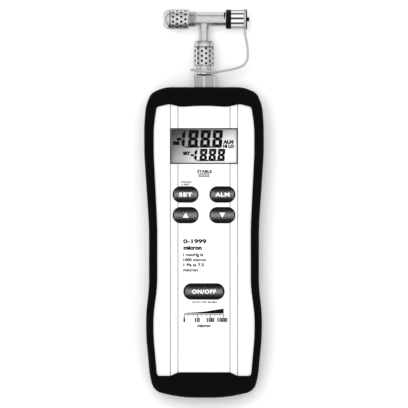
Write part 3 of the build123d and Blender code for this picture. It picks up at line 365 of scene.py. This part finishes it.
def new_piece(name, data, material, body, smooth=True):
    """Puts a mesh in the scene as a piece that rides on a body."""
    piece = bpy.data.objects.new(name, data)
    bpy.context.scene.collection.objects.link(piece)
    data.materials.clear()
    data.materials.append(material.data)
    for face in data.polygons:
        face.use_smooth = smooth
    if smooth:
        data.set_sharp_from_angle(angle=radians(35))
    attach(piece, body)
    return piece


def mesh_from(name, points, faces):
    """Mesh from points and faces, with its doubled points joined and its faces turned out."""
    data = bpy.data.meshes.new(name)
    shape = bmesh.new()
    corners = [shape.verts.new(point) for point in points]
    for face in faces:
        shape.faces.new([corners[corner] for corner in face])
    bmesh.ops.remove_doubles(shape, verts=shape.verts, dist=1e-6)
    bmesh.ops.recalc_face_normals(shape, faces=shape.faces)
    shape.to_mesh(data)
    shape.free()
    return data


def arc(centre, radius, start, end, steps):
    """Points of an arc between two angles in degrees."""
    angles = [radians(start + (end - start) * step / steps) for step in range(steps + 1)]
    return [(centre[0] + radius * cos(angle), centre[1] + radius * sin(angle)) for angle in angles]


def stations(start, end, step):
    """Evenly spaced places from one end to the other, with both ends."""
    count = max(1, ceil(abs(end - start) / step))
    return [start + (end - start) * number / count for number in range(count + 1)]


KNURLED = "knurled"


def revolved(name, profile, around, place, sunk=None):
    """Mesh turned from a closed profile of (along, radius), sunk where a function says so.

    place(along, radius, angle) gives a point. A third value in the profile is how much painted shade its points get,
    or KNURLED where sunk(along, angle) gives their depth and their painted shade.
    """
    points, dark = [], []
    for along, radius, *mark in profile:
        for step in range(around):
            angle = 2 * pi * step / around
            depth, painted_shade = sunk(along, angle) if mark == [KNURLED] else (0.0, sum(mark))
            points.append(place(along, radius - depth, angle))
            dark.append(painted_shade)
    faces = []
    rings = len(profile)
    for ring in range(rings - 1):
        for step in range(around):
            after = (step + 1) % around
            low, high = ring * around, (ring + 1) * around
            faces.append((low + step, low + after, high + after, high + step))
    data = bpy.data.meshes.new(name)
    shape = bmesh.new()
    layer = shape.verts.layers.float.new("pit")
    corners = []
    for point, painted_shade in zip(points, dark):
        corner = shape.verts.new(point)
        corner[layer] = painted_shade
        corners.append(corner)
    for face in faces:
        shape.faces.new([corners[corner] for corner in face])
    bmesh.ops.remove_doubles(shape, verts=shape.verts, dist=1e-6)
    bmesh.ops.dissolve_degenerate(shape, edges=shape.edges, dist=1e-7)
    bmesh.ops.recalc_face_normals(shape, faces=shape.faces)
    shape.to_mesh(data)
    shape.free()
    return data


def about_run(along, radius, angle):
    """Point round the run's axis, with its place counted along -X and angle 0 upwards."""
    return (-along, run_y + radius * sin(angle), port_z + radius * cos(angle))


def about_branch(along, radius, angle):
    """Point round the branch's axis, with its place counted along +Y and angle 0 upwards."""
    return (radius * sin(angle), along, port_z + radius * cos(angle))


# Knurled sleeves: diamonds between crossed grooves, with a pit at each crossing
knurl_radius = 7.1 * MM
pit_radius = 0.98 * MM
pit_depth = 0.55 * MM
groove_depth = 0.07 * MM
groove_share = 0.16
seam_width = 0.7 * MM
seam_depth = 0.35 * MM
sleeve_edge = 0.4 * MM
sleeve_bore = 5.856 * MM
knurl_step = 0.16 * MM


def knurl_depth(column, row, column_pitch, row_pitch):
    """Depth and painted shade at a place counted in columns and rows, every other column staggered."""
    crossing = 0.0
    for turned in (row - column / 2, row + column / 2):
        off = abs(turned - round(turned))
        crossing += max(0.0, 1 - off / groove_share)
    nearest = round(column)
    off_column = (column - nearest) * column_pitch
    off_row = row - nearest / 2
    off_row = (off_row - round(off_row)) * row_pitch
    away = hypot(off_column, off_row) / pit_radius
    bowl = max(0.0, 1 - away * away)
    return groove_depth * min(1.0, crossing) + pit_depth * bowl, sqrt(bowl)


def sleeve_profile(closed_end, dome_end, dome_start, mouth, end_radius, hole):
    """Profile of a knurled sleeve from its domed end to its mouth, and back along its bore.

    hole lists the points of the inside, from the mouth back to the domed end.
    """
    length = dome_start - dome_end
    dome = [
        (dome_start - length * sin(angle), end_radius + (knurl_radius - end_radius) * cos(angle))
        for angle in (radians(90 - 7.5 * step) for step in range(13))
    ]
    # Painted shade: the seam groove's middle points are marked fully dark.
    seam = [
        (dome_start + seam_width * share, knurl_radius - seam_depth * sunk, dark)
        for share, sunk, dark in (
            (0.05, 0.4, 0.0), (0.15, 0.9, 1.0), (0.3, 1.0, 1.0), (0.7, 1.0, 1.0), (0.85, 0.9, 1.0), (0.95, 0.4, 0.0),
        )
    ]
    knurl_end = mouth - sleeve_edge if mouth > dome_start else mouth + sleeve_edge
    knurl = [
        (along, knurl_radius, KNURLED)
        for along in stations(dome_start + seam_width, knurl_end, knurl_step)
    ]
    edge = [(mouth, knurl_radius - sleeve_edge)]
    return closed_end + dome + seam + knurl + edge + hole


def knurled_cap():
    """Cap over the tee's left flare: closed end, dome, seam and knurl."""
    mouth = -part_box("knurled_cap")[1].x
    end = -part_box("knurled_cap")[0].x
    knurl_end = mouth + 14.0 * MM
    end_radius = 3.45 * MM
    seal_seat = -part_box("cap_seal")[0].x
    first_column = 13.6 * MM
    column_pitch = 3.03 * MM
    rows = 12

    def sunk(along, angle):
        column = (-along - first_column) / column_pitch
        row = angle / (2 * pi / rows)
        return knurl_depth(column, row, column_pitch, knurl_radius * 2 * pi / rows)

    hole = [(-mouth, sleeve_bore), (-seal_seat, sleeve_bore), (-seal_seat, 0.0)]
    closed = [(-end, 0.0), (-end, end_radius * 0.5)]
    profile = sleeve_profile(closed, -end, -knurl_end, -mouth, end_radius, hole)
    data = revolved("knurled_cap_shape", profile, 288, lambda a, r, t: about_run(-a, r, t), sunk)
    piece = new_piece("knurled_cap_shape", data, knurl, "flare_cap")
    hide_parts("knurled_cap")


def swivel_nut():
    """Nut between the port and the tee: dome, seam and knurl round a stepped hole."""
    low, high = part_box("swivel_nut")
    knurl_end = low.y + 14.1 * MM
    end_radius = 4.9 * MM
    hole_radius = 4.025 * MM
    shoulder = low.y + 11.2 * MM
    first_row = 111.2 * MM
    row_pitch = 3.6 * MM
    columns = 14

    def sunk(along, angle):
        column = angle / (2 * pi / columns) + 0.5
        row = (-along - first_row) / row_pitch
        return knurl_depth(column, row, knurl_radius * 2 * pi / columns, row_pitch)

    hole = [
        (-low.y, sleeve_bore),
        (-shoulder, sleeve_bore),
        (-shoulder - sleeve_bore + hole_radius, hole_radius),
        (-high.y, hole_radius),
        (-high.y, end_radius),
    ]
    profile = sleeve_profile([(-high.y, end_radius)], -high.y, -knurl_end, -low.y, end_radius, hole)
    data = revolved("swivel_nut_shape", profile, 288, lambda a, r, t: about_branch(-a, r, t), sunk)
    piece = new_piece("swivel_nut_shape", data, knurl, "nut")
    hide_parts("swivel_nut")


knurl = knurl_material()
knurled_cap()
swivel_nut()

# Tee: the CAD's shape with its two thread cylinders cut down to cores under helical ridges
thread_crest = 5.556 * MM
thread_core = 4.95 * MM
thread_pitch = 1.8 * MM
thread_steps = 48


def helical_ridge(name, start, end):
    """Ridge of a thread round the run's axis, from one place along X to another."""
    turns = (end - start) / thread_pitch
    steps = ceil(turns * thread_steps)
    half_root, half_crest = 0.46 * thread_pitch, 0.12 * thread_pitch
    points = []
    for step in range(steps + 1):
        share = step / steps
        angle = share * turns * 2 * pi
        middle = start + share * (end - start)
        taper = min(1.0, share * turns / 0.4, (1 - share) * turns / 0.4)
        crest = thread_core + (thread_crest - thread_core) * max(0.02, taper)
        root = thread_core - 0.15 * MM
        for along, radius in (
            (-half_root, root), (-half_crest, crest), (half_crest, crest), (half_root, root),
        ):
            points.append(about_run(-(middle + along), radius, angle))
    faces = []
    for step in range(steps):
        low, high = 4 * step, 4 * (step + 1)
        for corner in range(4):
            after = (corner + 1) % 4
            faces.append((low + corner, low + after, high + after, high + corner))
    faces += [(0, 1, 2, 3), tuple(4 * steps + corner for corner in range(4))]
    return mesh_from(name, points, faces)


def tee():
    """The tee's body, a copy of its frame shape with cut-down thread cylinders, and its threads."""
    data = nodes["tee_fitting"].data.copy()
    low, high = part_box("tee_fitting")
    cut = thread_crest - thread_core
    shape = bmesh.new()
    shape.from_mesh(data)
    for corner in shape.verts:
        off_y, off_z = corner.co.y - run_y, corner.co.z - port_z
        radius = hypot(off_y, off_z)
        if radius > thread_core and abs(corner.co.x) > 5.3 * MM:
            share = thread_core / radius
            corner.co.y = run_y + off_y * share
            corner.co.z = port_z + off_z * share
            if corner.co.x < -19 * MM:
                corner.co.x -= cut
            if corner.co.x > 21 * MM:
                corner.co.x += cut
    shape.to_mesh(data)
    shape.free()
    body = new_piece("tee_body", data, nickel, "tee")
    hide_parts("tee_fitting")
    flare = thread_crest - 3.3 * MM
    left = helical_ridge("left_thread", low.x + flare + 0.5 * MM, -6.0 * MM)
    ridges = thread_material()
    new_piece("left_thread", left, ridges, "tee")
    right = helical_ridge("right_thread", 14.9 * MM, high.x - flare - 0.5 * MM)
    new_piece("right_thread", right, ridges, "tee")


tee()

# Cap tether: a disc, a strap on one smooth line and a tilted ring, moulded as one
disc_low, disc_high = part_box("cap_tether")
strap_thickness = 1.7 * MM
strap_width = 5.0 * MM
disc_radius = 7.8 * MM
disc_middle = 29.85 * MM
ring_inner = 5.8 * MM
ring_outer = 10.0 * MM
ring_tilt = radians(5.6)
ring_y = 96.5 * MM
ring_sag = 0.68 * MM
edge_round = 0.45 * MM
strap_points = [
    (29.85, 128.25), (29.85, 123.95), (32.35, 112.45), (31.55, 101.8), (22.5, 97.6), (7.9, 95.73),
]


def smooth_line(points):
    """Points along a NURBS line drawn by control points in millimetres."""
    curve = bpy.data.curves.new("line", "CURVE")
    curve.dimensions = "3D"
    spline = curve.splines.new("NURBS")
    spline.points.add(len(points) - 1)
    for corner, (x, y) in zip(spline.points, points):
        corner.co = (x * MM, y * MM, port_z, 1.0)
    spline.order_u = 3
    spline.use_endpoint_u = True
    spline.resolution_u = 24
    holder = bpy.data.objects.new("line", curve)
    bpy.context.scene.collection.objects.link(holder)
    line = bpy.data.meshes.new_from_object(holder)
    found = [corner.co.copy() for corner in line.vertices]
    bpy.data.objects.remove(holder)
    return found


def rounded_section(width, height, radius, steps=4):
    """Corners of a rounded rectangle about the origin."""
    section = []
    for side, lift, start in ((1, 1, 0), (-1, 1, 90), (-1, -1, 180), (1, -1, 270)):
        centre = (side * (width / 2 - radius), lift * (height / 2 - radius))
        section += arc(centre, radius, start, start + 90, steps)
    return section


def swept_strap():
    """Points and faces of the strap along its line."""
    line = smooth_line(strap_points)
    section = rounded_section(strap_thickness, strap_width, edge_round)
    points, faces = [], []
    for number, place in enumerate(line):
        before, after = line[max(0, number - 1)], line[min(len(line) - 1, number + 1)]
        way = (after - before).normalized()
        side = Vector((-way.y, way.x, 0))
        points += [place + side * across + Vector((0, 0, up)) for across, up in section]
    count = len(section)
    for number in range(len(line) - 1):
        low, high = number * count, (number + 1) * count
        for corner in range(count):
            next_corner = (corner + 1) % count
            faces.append((low + corner, low + next_corner, high + next_corner, high + corner))
    faces.append(tuple(range(count)))
    faces.append(tuple((len(line) - 1) * count + corner for corner in range(count)))
    return points, faces


def turned_ring(place, section, around=96):
    """Points and faces of a ring or disc turned from a closed section of (along, radius)."""
    points, faces = [], []
    count = len(section)
    for step in range(around):
        angle = 2 * pi * step / around
        points += [place(along, radius, angle) for along, radius in section]
    for step in range(around):
        low, high = step * count, ((step + 1) % around) * count
        for corner in range(count):
            next_corner = (corner + 1) % count
            faces.append((low + corner, low + next_corner, high + next_corner, high + corner))
    return points, faces


def about_neck(along, radius, angle):
    """Point of the tilted ring: along its own axis, and round it."""
    x, z = radius * sin(angle), radius * cos(angle)
    return (
        x * cos(ring_tilt) + along * sin(ring_tilt),
        ring_y - x * sin(ring_tilt) + along * cos(ring_tilt),
        port_z - ring_sag + z,
    )


def cap_tether():
    """Fuses the disc, strap and ring into one skin."""
    ring_middle = (ring_inner + ring_outer) / 2
    ring_section = [
        (along, ring_middle + radius)
        for radius, along in rounded_section(ring_outer - ring_inner, strap_thickness, edge_round)
    ]
    hole = 1.6 * MM
    disc_section = [
        (along - disc_middle, (disc_radius + hole) / 2 + radius)
        for radius, along in rounded_section(disc_radius - hole, strap_thickness, edge_round)
    ]
    parts = [
        swept_strap(),
        turned_ring(about_neck, ring_section),
        turned_ring(about_run, disc_section),
    ]
    points, faces = [], []
    for part_points, part_faces in parts:
        first = len(points)
        points += part_points
        faces += [tuple(first + corner for corner in face) for face in part_faces]
    data = mesh_from("cap_tether_shape", points, faces)
    piece = new_piece("cap_tether_shape", data, milky_plastic, "tee")
    piece.parent = None
    del piece["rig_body"]
    remesh = piece.modifiers.new("fuse", "REMESH")
    remesh.mode = "VOXEL"
    remesh.voxel_size = 0.24 * MM
    smooth = piece.modifiers.new("soften", "SMOOTH")
    smooth.iterations = 6
    bpy.context.view_layer.update()
    graph = bpy.context.evaluated_depsgraph_get()
    fused = bpy.data.meshes.new_from_object(piece.evaluated_get(graph))
    piece.modifiers.clear()
    piece.data = fused
    for face in fused.polygons:
        face.use_smooth = True
    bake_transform(piece)
    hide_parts("cap_tether")


cap_tether()

# Display


def prism(outline, low, high):
    """Points and faces of a flat outline raised between two heights."""
    count = len(outline)
    points = [(x, y, low) for x, y in outline] + [(x, y, high) for x, y in outline]
    faces = [tuple(range(count)), tuple(count + corner for corner in range(count))]
    for corner in range(count):
        after = (corner + 1) % count
        faces.append((corner, after, count + after, count + corner))
    return points, faces


def flat_piece(name, outlines, low, high, material, body="root"):
    """A piece made of flat outlines raised between two heights."""
    points, faces = [], []
    for outline in outlines:
        outline_points, outline_faces = prism(outline, low, high)
        first = len(points)
        points += outline_points
        faces += [tuple(first + corner for corner in face) for face in outline_faces]
    return new_piece(name, mesh_from(name, points, faces), material, body, smooth=False)


digit_slant = tan(radians(4.5))
segment_low = glass_top + 0.01 * MM
segment_high = glass_top + 0.06 * MM


def slanted(outline, x, y):
    """Moves an outline in millimetres to its place, leaning as the digits do."""
    return [((x + across + up * digit_slant) * MM, (y + up) * MM) for across, up in outline]


def digit_outlines(x, y, width, height, stroke, segments="abcdefg"):
    """Bars of a seven-segment digit whose lower left corner is at x, y in millimetres."""
    gap = 0.02 * stroke
    half = height / 2
    top = height
    inset = stroke * 0.42
    flat = {
        "a": [(gap, top), (width - gap, top), (width - stroke - gap, top - stroke), (stroke + gap, top - stroke)],
        "d": [(gap, 0), (width - gap, 0), (width - stroke - gap, stroke), (stroke + gap, stroke)],
        "g": [
            (gap + inset, half), (stroke, half + stroke / 2), (width - stroke, half + stroke / 2),
            (width - gap - inset, half), (width - stroke, half - stroke / 2), (stroke, half - stroke / 2),
        ],
        "f": [(0, top - gap), (stroke, top - stroke - gap), (stroke, half + stroke / 2 + gap), (inset, half + gap), (0, half + inset)],
        "e": [(0, gap), (stroke, stroke + gap), (stroke, half - stroke / 2 - gap), (inset, half - gap), (0, half - inset)],
    }
    flat["b"] = [(width - across, up) for across, up in flat["f"]]
    flat["c"] = [(width - across, up) for across, up in flat["e"]]
    return [slanted(flat[name], x, y) for name in segments]


def display_digits():
    """Both rows of digits with their ones, points and minus signs."""
    upper_y, upper_height, upper_width, upper_stroke = 40.4, 12.9, 7.2, 2.5
    lower_y, lower_height, lower_width, lower_stroke = 30.6, 9.0, 5.3, 2.0
    upper = []
    for x in (-12.0, -3.1, 5.75):
        upper += digit_outlines(x, upper_y, upper_width, upper_height, upper_stroke)
    upper += digit_outlines(-21.5, upper_y, upper_width, upper_height, upper_stroke, "bc")
    point = [(0, 0), (1.3, 0), (1.3, 1.3), (0, 1.3)]
    upper += [slanted(point, x, upper_y) for x in (-13.6, -4.8, 4.1)]
    flat_piece("upper_digits", upper, segment_low, segment_high, segment_ink)
    lower = []
    for x in (-3.4, 3.15, 9.65):
        lower += digit_outlines(x, lower_y, lower_width, lower_height, lower_stroke)
    lower += digit_outlines(-10.8, lower_y, lower_width, lower_height, lower_stroke, "bc")
    point = [(0, 0), (1.0, 0), (1.0, 1.0), (0, 1.0)]
    lower += [slanted(point, x, lower_y) for x in (-4.75, 1.9, 8.45)]
    flat_piece("lower_digits", lower, segment_low, segment_high, segment_ink)
    minus = [(0, 1.0), (0.5, 2.0), (3.6, 2.0), (4.0, 1.0), (3.6, 0), (0.5, 0)]
    upper_minus = slanted(minus, -20.2, upper_y + upper_height / 2 - 1.2)
    small_minus = slanted([(0.66 * across, 0.75 * up) for across, up in minus], -9.9, lower_y + lower_height / 2 - 0.9)
    flat_piece("minus_signs", [upper_minus, small_minus], segment_low, segment_high, segment_ink)
    cell = [(-22.6, 42.4), (-18.0, 42.4), (-18.0, 44.9), (-22.6, 44.9)]
    tabs = [
        [(x, 44.9), (x + 1.0, 44.9), (x + 1.0, 45.5), (x, 45.5)] for x in (-22.1, -19.5)
    ]
    outlines = [[(x * MM, y * MM) for x, y in outline] for outline in [cell] + tabs]
    flat_piece("battery_sign", outlines, segment_low, segment_high, segment_ink)


display_digits()


capital_height = 0.729


def lettering(name, words, x, y, height, low, high, material, body="root", width=None,
              bold=0.0, spacing=1.0, align="LEFT", shear=0.0, on=None):
    """Words as a raised mesh whose capitals are a height tall and stand on y.

    The words are stretched to a width if one is given. on(x, y) gives the surface that they
    follow, and otherwise they lie flat between two heights.
    """
    curve = bpy.data.curves.new(name, "FONT")
    curve.body = words
    curve.size = 1.0
    curve.offset = bold
    curve.shear = shear
    curve.resolution_u = 4
    curve.space_character = spacing
    curve.extrude = 0.5
    curve.align_x = "LEFT"
    holder = bpy.data.objects.new(name, curve)
    bpy.context.scene.collection.objects.link(holder)
    bpy.context.view_layer.update()
    data = bpy.data.meshes.new_from_object(holder)
    bpy.data.objects.remove(holder)
    found_x = [corner.co.x for corner in data.vertices]
    left, right = min(found_x), max(found_x)
    scale = height / capital_height
    stretch = width / (right - left) if width else scale
    span = (right - left) * stretch
    start = {"LEFT": x, "CENTER": x - span / 2}[align]
    shape = bmesh.new()
    shape.from_mesh(data)
    rows = 10 if on else 0
    for row in range(-1, rows + 1):
        cut = (0, capital_height * row / max(1, rows), 0)
        parts = shape.verts[:] + shape.edges[:] + shape.faces[:]
        bmesh.ops.bisect_plane(shape, geom=parts, plane_co=cut, plane_no=(0, 1, 0))
    for corner in shape.verts:
        across = start + (corner.co.x - left) * stretch
        up = y + corner.co.y * scale
        base = on(across, up) if on else 0.0
        corner.co = (across, up, base + (high if corner.co.z > 0 else low))
    bmesh.ops.remove_doubles(shape, verts=shape.verts, dist=1e-7)
    bmesh.ops.recalc_face_normals(shape, faces=shape.faces)
    shape.to_mesh(data)
    shape.free()
    return new_piece(name, data, material, body, smooth=False)


def display_words():
    """Small words on the display."""
    for name, words, x, y, width, height in (
        ("alarm_word", "ALM", 13.9, 43.5, 7.6, 2.4),
        ("high_low_word", "HI LO", 13.9, 40.4, 8.0, 2.3),
        ("set_word", "SET", -15.4, 35.3, 5.3, 2.2),
    ):
        lettering(name, words, x * MM, y * MM, height * MM, segment_low, segment_high,
                  segment_ink, width=width * MM, bold=0.08)


display_words()


def frame_outline(middle, width, height, line):
    """Four bars of a rectangular line about a middle."""
    half_width, half_height = width / 2, height / 2
    bars = []
    for x0, x1, y0, y1 in (
        (-half_width, half_width, half_height - line, half_height),
        (-half_width, half_width, -half_height, -half_height + line),
        (-half_width, -half_width + line, -half_height + line, half_height - line),
        (half_width - line, half_width, -half_height + line, half_height - line),
    ):
        corners = (x0, y0), (x1, y0), (x1, y1), (x0, y1)
        bars.append([(middle.x + x, middle.y + y) for x, y in corners])
    return bars


window_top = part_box("lcd_window")[1].z
flat_piece(
    "window_border", frame_outline(window_middle, window_size.x, window_size.y, 0.7 * MM),
    window_top, window_top + 0.03 * MM, ink_and_painted_shade,
)
# Painted shadow: a dark line round the stable light's lens, where its recess gap is.
flat_piece(
    "stable_lens_painted_shadow", frame_outline(light_middle, 8.0 * MM, 2.6 * MM, 0.3 * MM),
    plateau_top, plateau_top + 0.03 * MM, ink_and_painted_shade,
)

# Legends on the keys, which follow their crowns
key_crown_radius = 13.0 * MM


def key_crown(name):
    """Height of a key's crown at a place."""
    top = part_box(name)[1].z
    middle, _ = middle_and_size(name)

    def height(_, y):
        off = y - middle.y
        return top - key_crown_radius + sqrt(key_crown_radius ** 2 - off ** 2)

    return height


legend_height = 2.9 * MM
for key, words, width in (("set_key", "SET", 9.8), ("alarm_key", "ALM", 10.4), ("power_key", "ON/OFF", 17.5)):
    middle, _ = middle_and_size(key)
    lettering(
        f"{key}_legend", words, middle.x, middle.y - legend_height / 2, legend_height,
        -0.05 * MM, 0.05 * MM, white_ink, body=key, width=width * MM,
        bold=0.035, spacing=1.14, align="CENTER", on=key_crown(key),
    )

for key, way in (("up_key", 1), ("down_key", -1)):
    middle, _ = middle_and_size(key)
    half_width, half_height = 2.1 * MM, 1.85 * MM
    triangle = [
        (middle.x - half_width, middle.y - way * half_height),
        (middle.x + half_width, middle.y - way * half_height),
        (middle.x, middle.y + way * half_height),
    ]
    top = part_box(key)[1].z
    flat_piece(f"{key}_legend", [triangle], top - 0.2 * MM, top + 0.04 * MM, white_ink, body=key)

# Words on the face
face_low = plateau_top - 0.01 * MM
face_high = plateau_top + 0.03 * MM


def face_words(name, words, x, y, height, width, bold=0.0, align="LEFT", shear=0.0):
    """Words printed on the face, in millimetres."""
    lettering(name, words, x * MM, y * MM, height * MM, face_low, face_high, ink_and_painted_shade,
              width=width * MM, bold=bold, align=align, shear=shear)


face_words("stable_word", "STABLE", 0.35, 22.1, 2.1, 10.9, bold=0.05, align="CENTER")
face_words("hold_words", "HOLD", -16.7, 14.8, 1.3, 7.6, bold=0.04)
face_words("hold_time_words", "2 SEC", -16.5, 12.9, 1.3, 6.0, bold=0.04)
face_words("range_numbers", "0-1999", -15.2, -29.3, 2.9, 17.0, bold=0.045)
face_words("range_unit", "micron", -15.0, -33.9, 2.9, 13.4, bold=0.065)
face_words("conversion_first", "1 mmHg is", -15.2, -38.7, 2.1, 14.6, bold=0.045)
face_words("conversion_second", "1000 micron", -15.1, -42.4, 2.1, 16.6, bold=0.045)
face_words("conversion_third", "1 Pa is 7.5", -15.1, -46.1, 2.1, 15.2, bold=0.045)
face_words("conversion_fourth", "micron", -15.1, -49.8, 2.1, 10.6, bold=0.045)
face_words("timer_words", "AUTO OFF 20 MIN", 0.3, -72.9, 1.2, 18.0, bold=0.04, align="CENTER")


def face_scale():
    """A scale of tens on a wedge, printed in the place below the power key."""
    left, right, foot = -14.4, 14.4, -81.6
    wedge = [
        (left, foot + 0.9), (right, foot + 0.9), (right, foot + 4.6),
        (left + (right - left) * 0.5, foot + 2.3), (left, foot + 1.3),
    ]
    outlines = [wedge, [(left, foot), (right, foot), (right, foot + 0.45), (left, foot + 0.45)]]
    decade = (right - left) / 3
    for step in range(10):
        place = left + decade * (step // 3) + decade * log10((1, 2, 5)[step % 3])
        tall = 1.7 if step % 3 == 0 else 1.0
        half = 0.3 if step % 3 == 0 else 0.2
        outlines.append([
            (place - half, foot - tall), (place + half, foot - tall), (place + half, foot), (place - half, foot),
        ])
    points = [[(x * MM, y * MM) for x, y in outline] for outline in outlines]
    flat_piece("face_scale", points, face_low, face_high, ink_and_painted_shade)
    for words, place, width in (
        ("1", left, 1.2), ("10", left + decade, 3.6), ("100", right - decade, 5.6), ("1000", right - 1.0, 7.4),
    ):
        face_words(f"scale_{words}", words, place, foot - 5.1, 3.0, width, bold=0.06, align="CENTER")
    face_words("scale_unit", "micron", 0.0, foot - 8.9, 2.2, 9.6, bold=0.05, align="CENTER")


face_scale()

# Floor, lights and camera


def floor():
    """A plain pale floor."""
    data = bpy.data.meshes.new("floor")
    half = 3.0
    corners = [(-half, -half, 0), (half, -half, 0), (half, half, 0), (-half, half, 0)]
    data.from_pydata(corners, [], [(0, 1, 2, 3)])
    piece = bpy.data.objects.new("floor", data)
    bpy.context.scene.collection.objects.link(piece)
    paper = Material("floor_paper", (0.95, 0.95, 0.95), 0.9)
    paper.grain(2 * MM, 0.02 * MM)
    data.materials.append(paper.data)


def area_light(name, place, size, power):
    """A soft square light that faces the gauge."""
    lamp = bpy.data.lights.new(name, "AREA")
    lamp.size = size
    lamp.energy = power
    holder = bpy.data.objects.new(name, lamp)
    holder.location = place
    holder.rotation_euler = Vector(place).to_track_quat("Z", "Y").to_euler()
    holder.visible_glossy = False
    holder.visible_camera = False
    bpy.context.scene.collection.objects.link(holder)


def studio_world():
    """A white sky that darkens towards the horizon, where round metal mirrors it."""
    world = bpy.data.worlds.new("studio")
    world.use_nodes = True
    tree = world.node_tree
    place = tree.nodes.new("ShaderNodeTexCoord")
    split = tree.nodes.new("ShaderNodeSeparateXYZ")
    ramp = tree.nodes.new("ShaderNodeValToRGB")
    tree.links.new(place.outputs["Generated"], split.inputs["Vector"])
    tree.links.new(split.outputs["Z"], ramp.inputs["Fac"])
    elements = ramp.color_ramp.elements
    elements.new(0.5)
    for element, (height, grey) in zip(elements, ((0.0, 0.4), (0.5, 0.6), (0.85, 1.0))):
        element.position = height
        element.color = (grey, grey, grey, 1.0)
    tree.links.new(ramp.outputs["Color"], tree.nodes["Background"].inputs["Color"])
    tree.nodes["Background"].inputs["Strength"].default_value = 0.9
    bpy.context.scene.world = world


floor()
studio_world()
area_light("key_light", (-0.2, 0.25, 2.7), 1.3, 45)
area_light("fill_light", (0.9, -0.7, 2.2), 2.0, 4)
bpy.context.scene.view_settings.view_transform = "Standard"

# The photograph spans this much at the face, seen from straight above
photo_span = 297.8 * MM
photo_middle = (0.0, -0.7 * MM)
lens = 1200.0
sensor = 36.0
camera_data = bpy.data.cameras.new("camera")
camera_data.lens = lens
camera_data.sensor_width = sensor
camera_data.clip_end = 20
camera = bpy.data.objects.new("camera", camera_data)
camera.location = (*photo_middle, plateau_top + photo_span * lens / sensor)
bpy.context.scene.collection.objects.link(camera)
bpy.context.scene.camera = camera
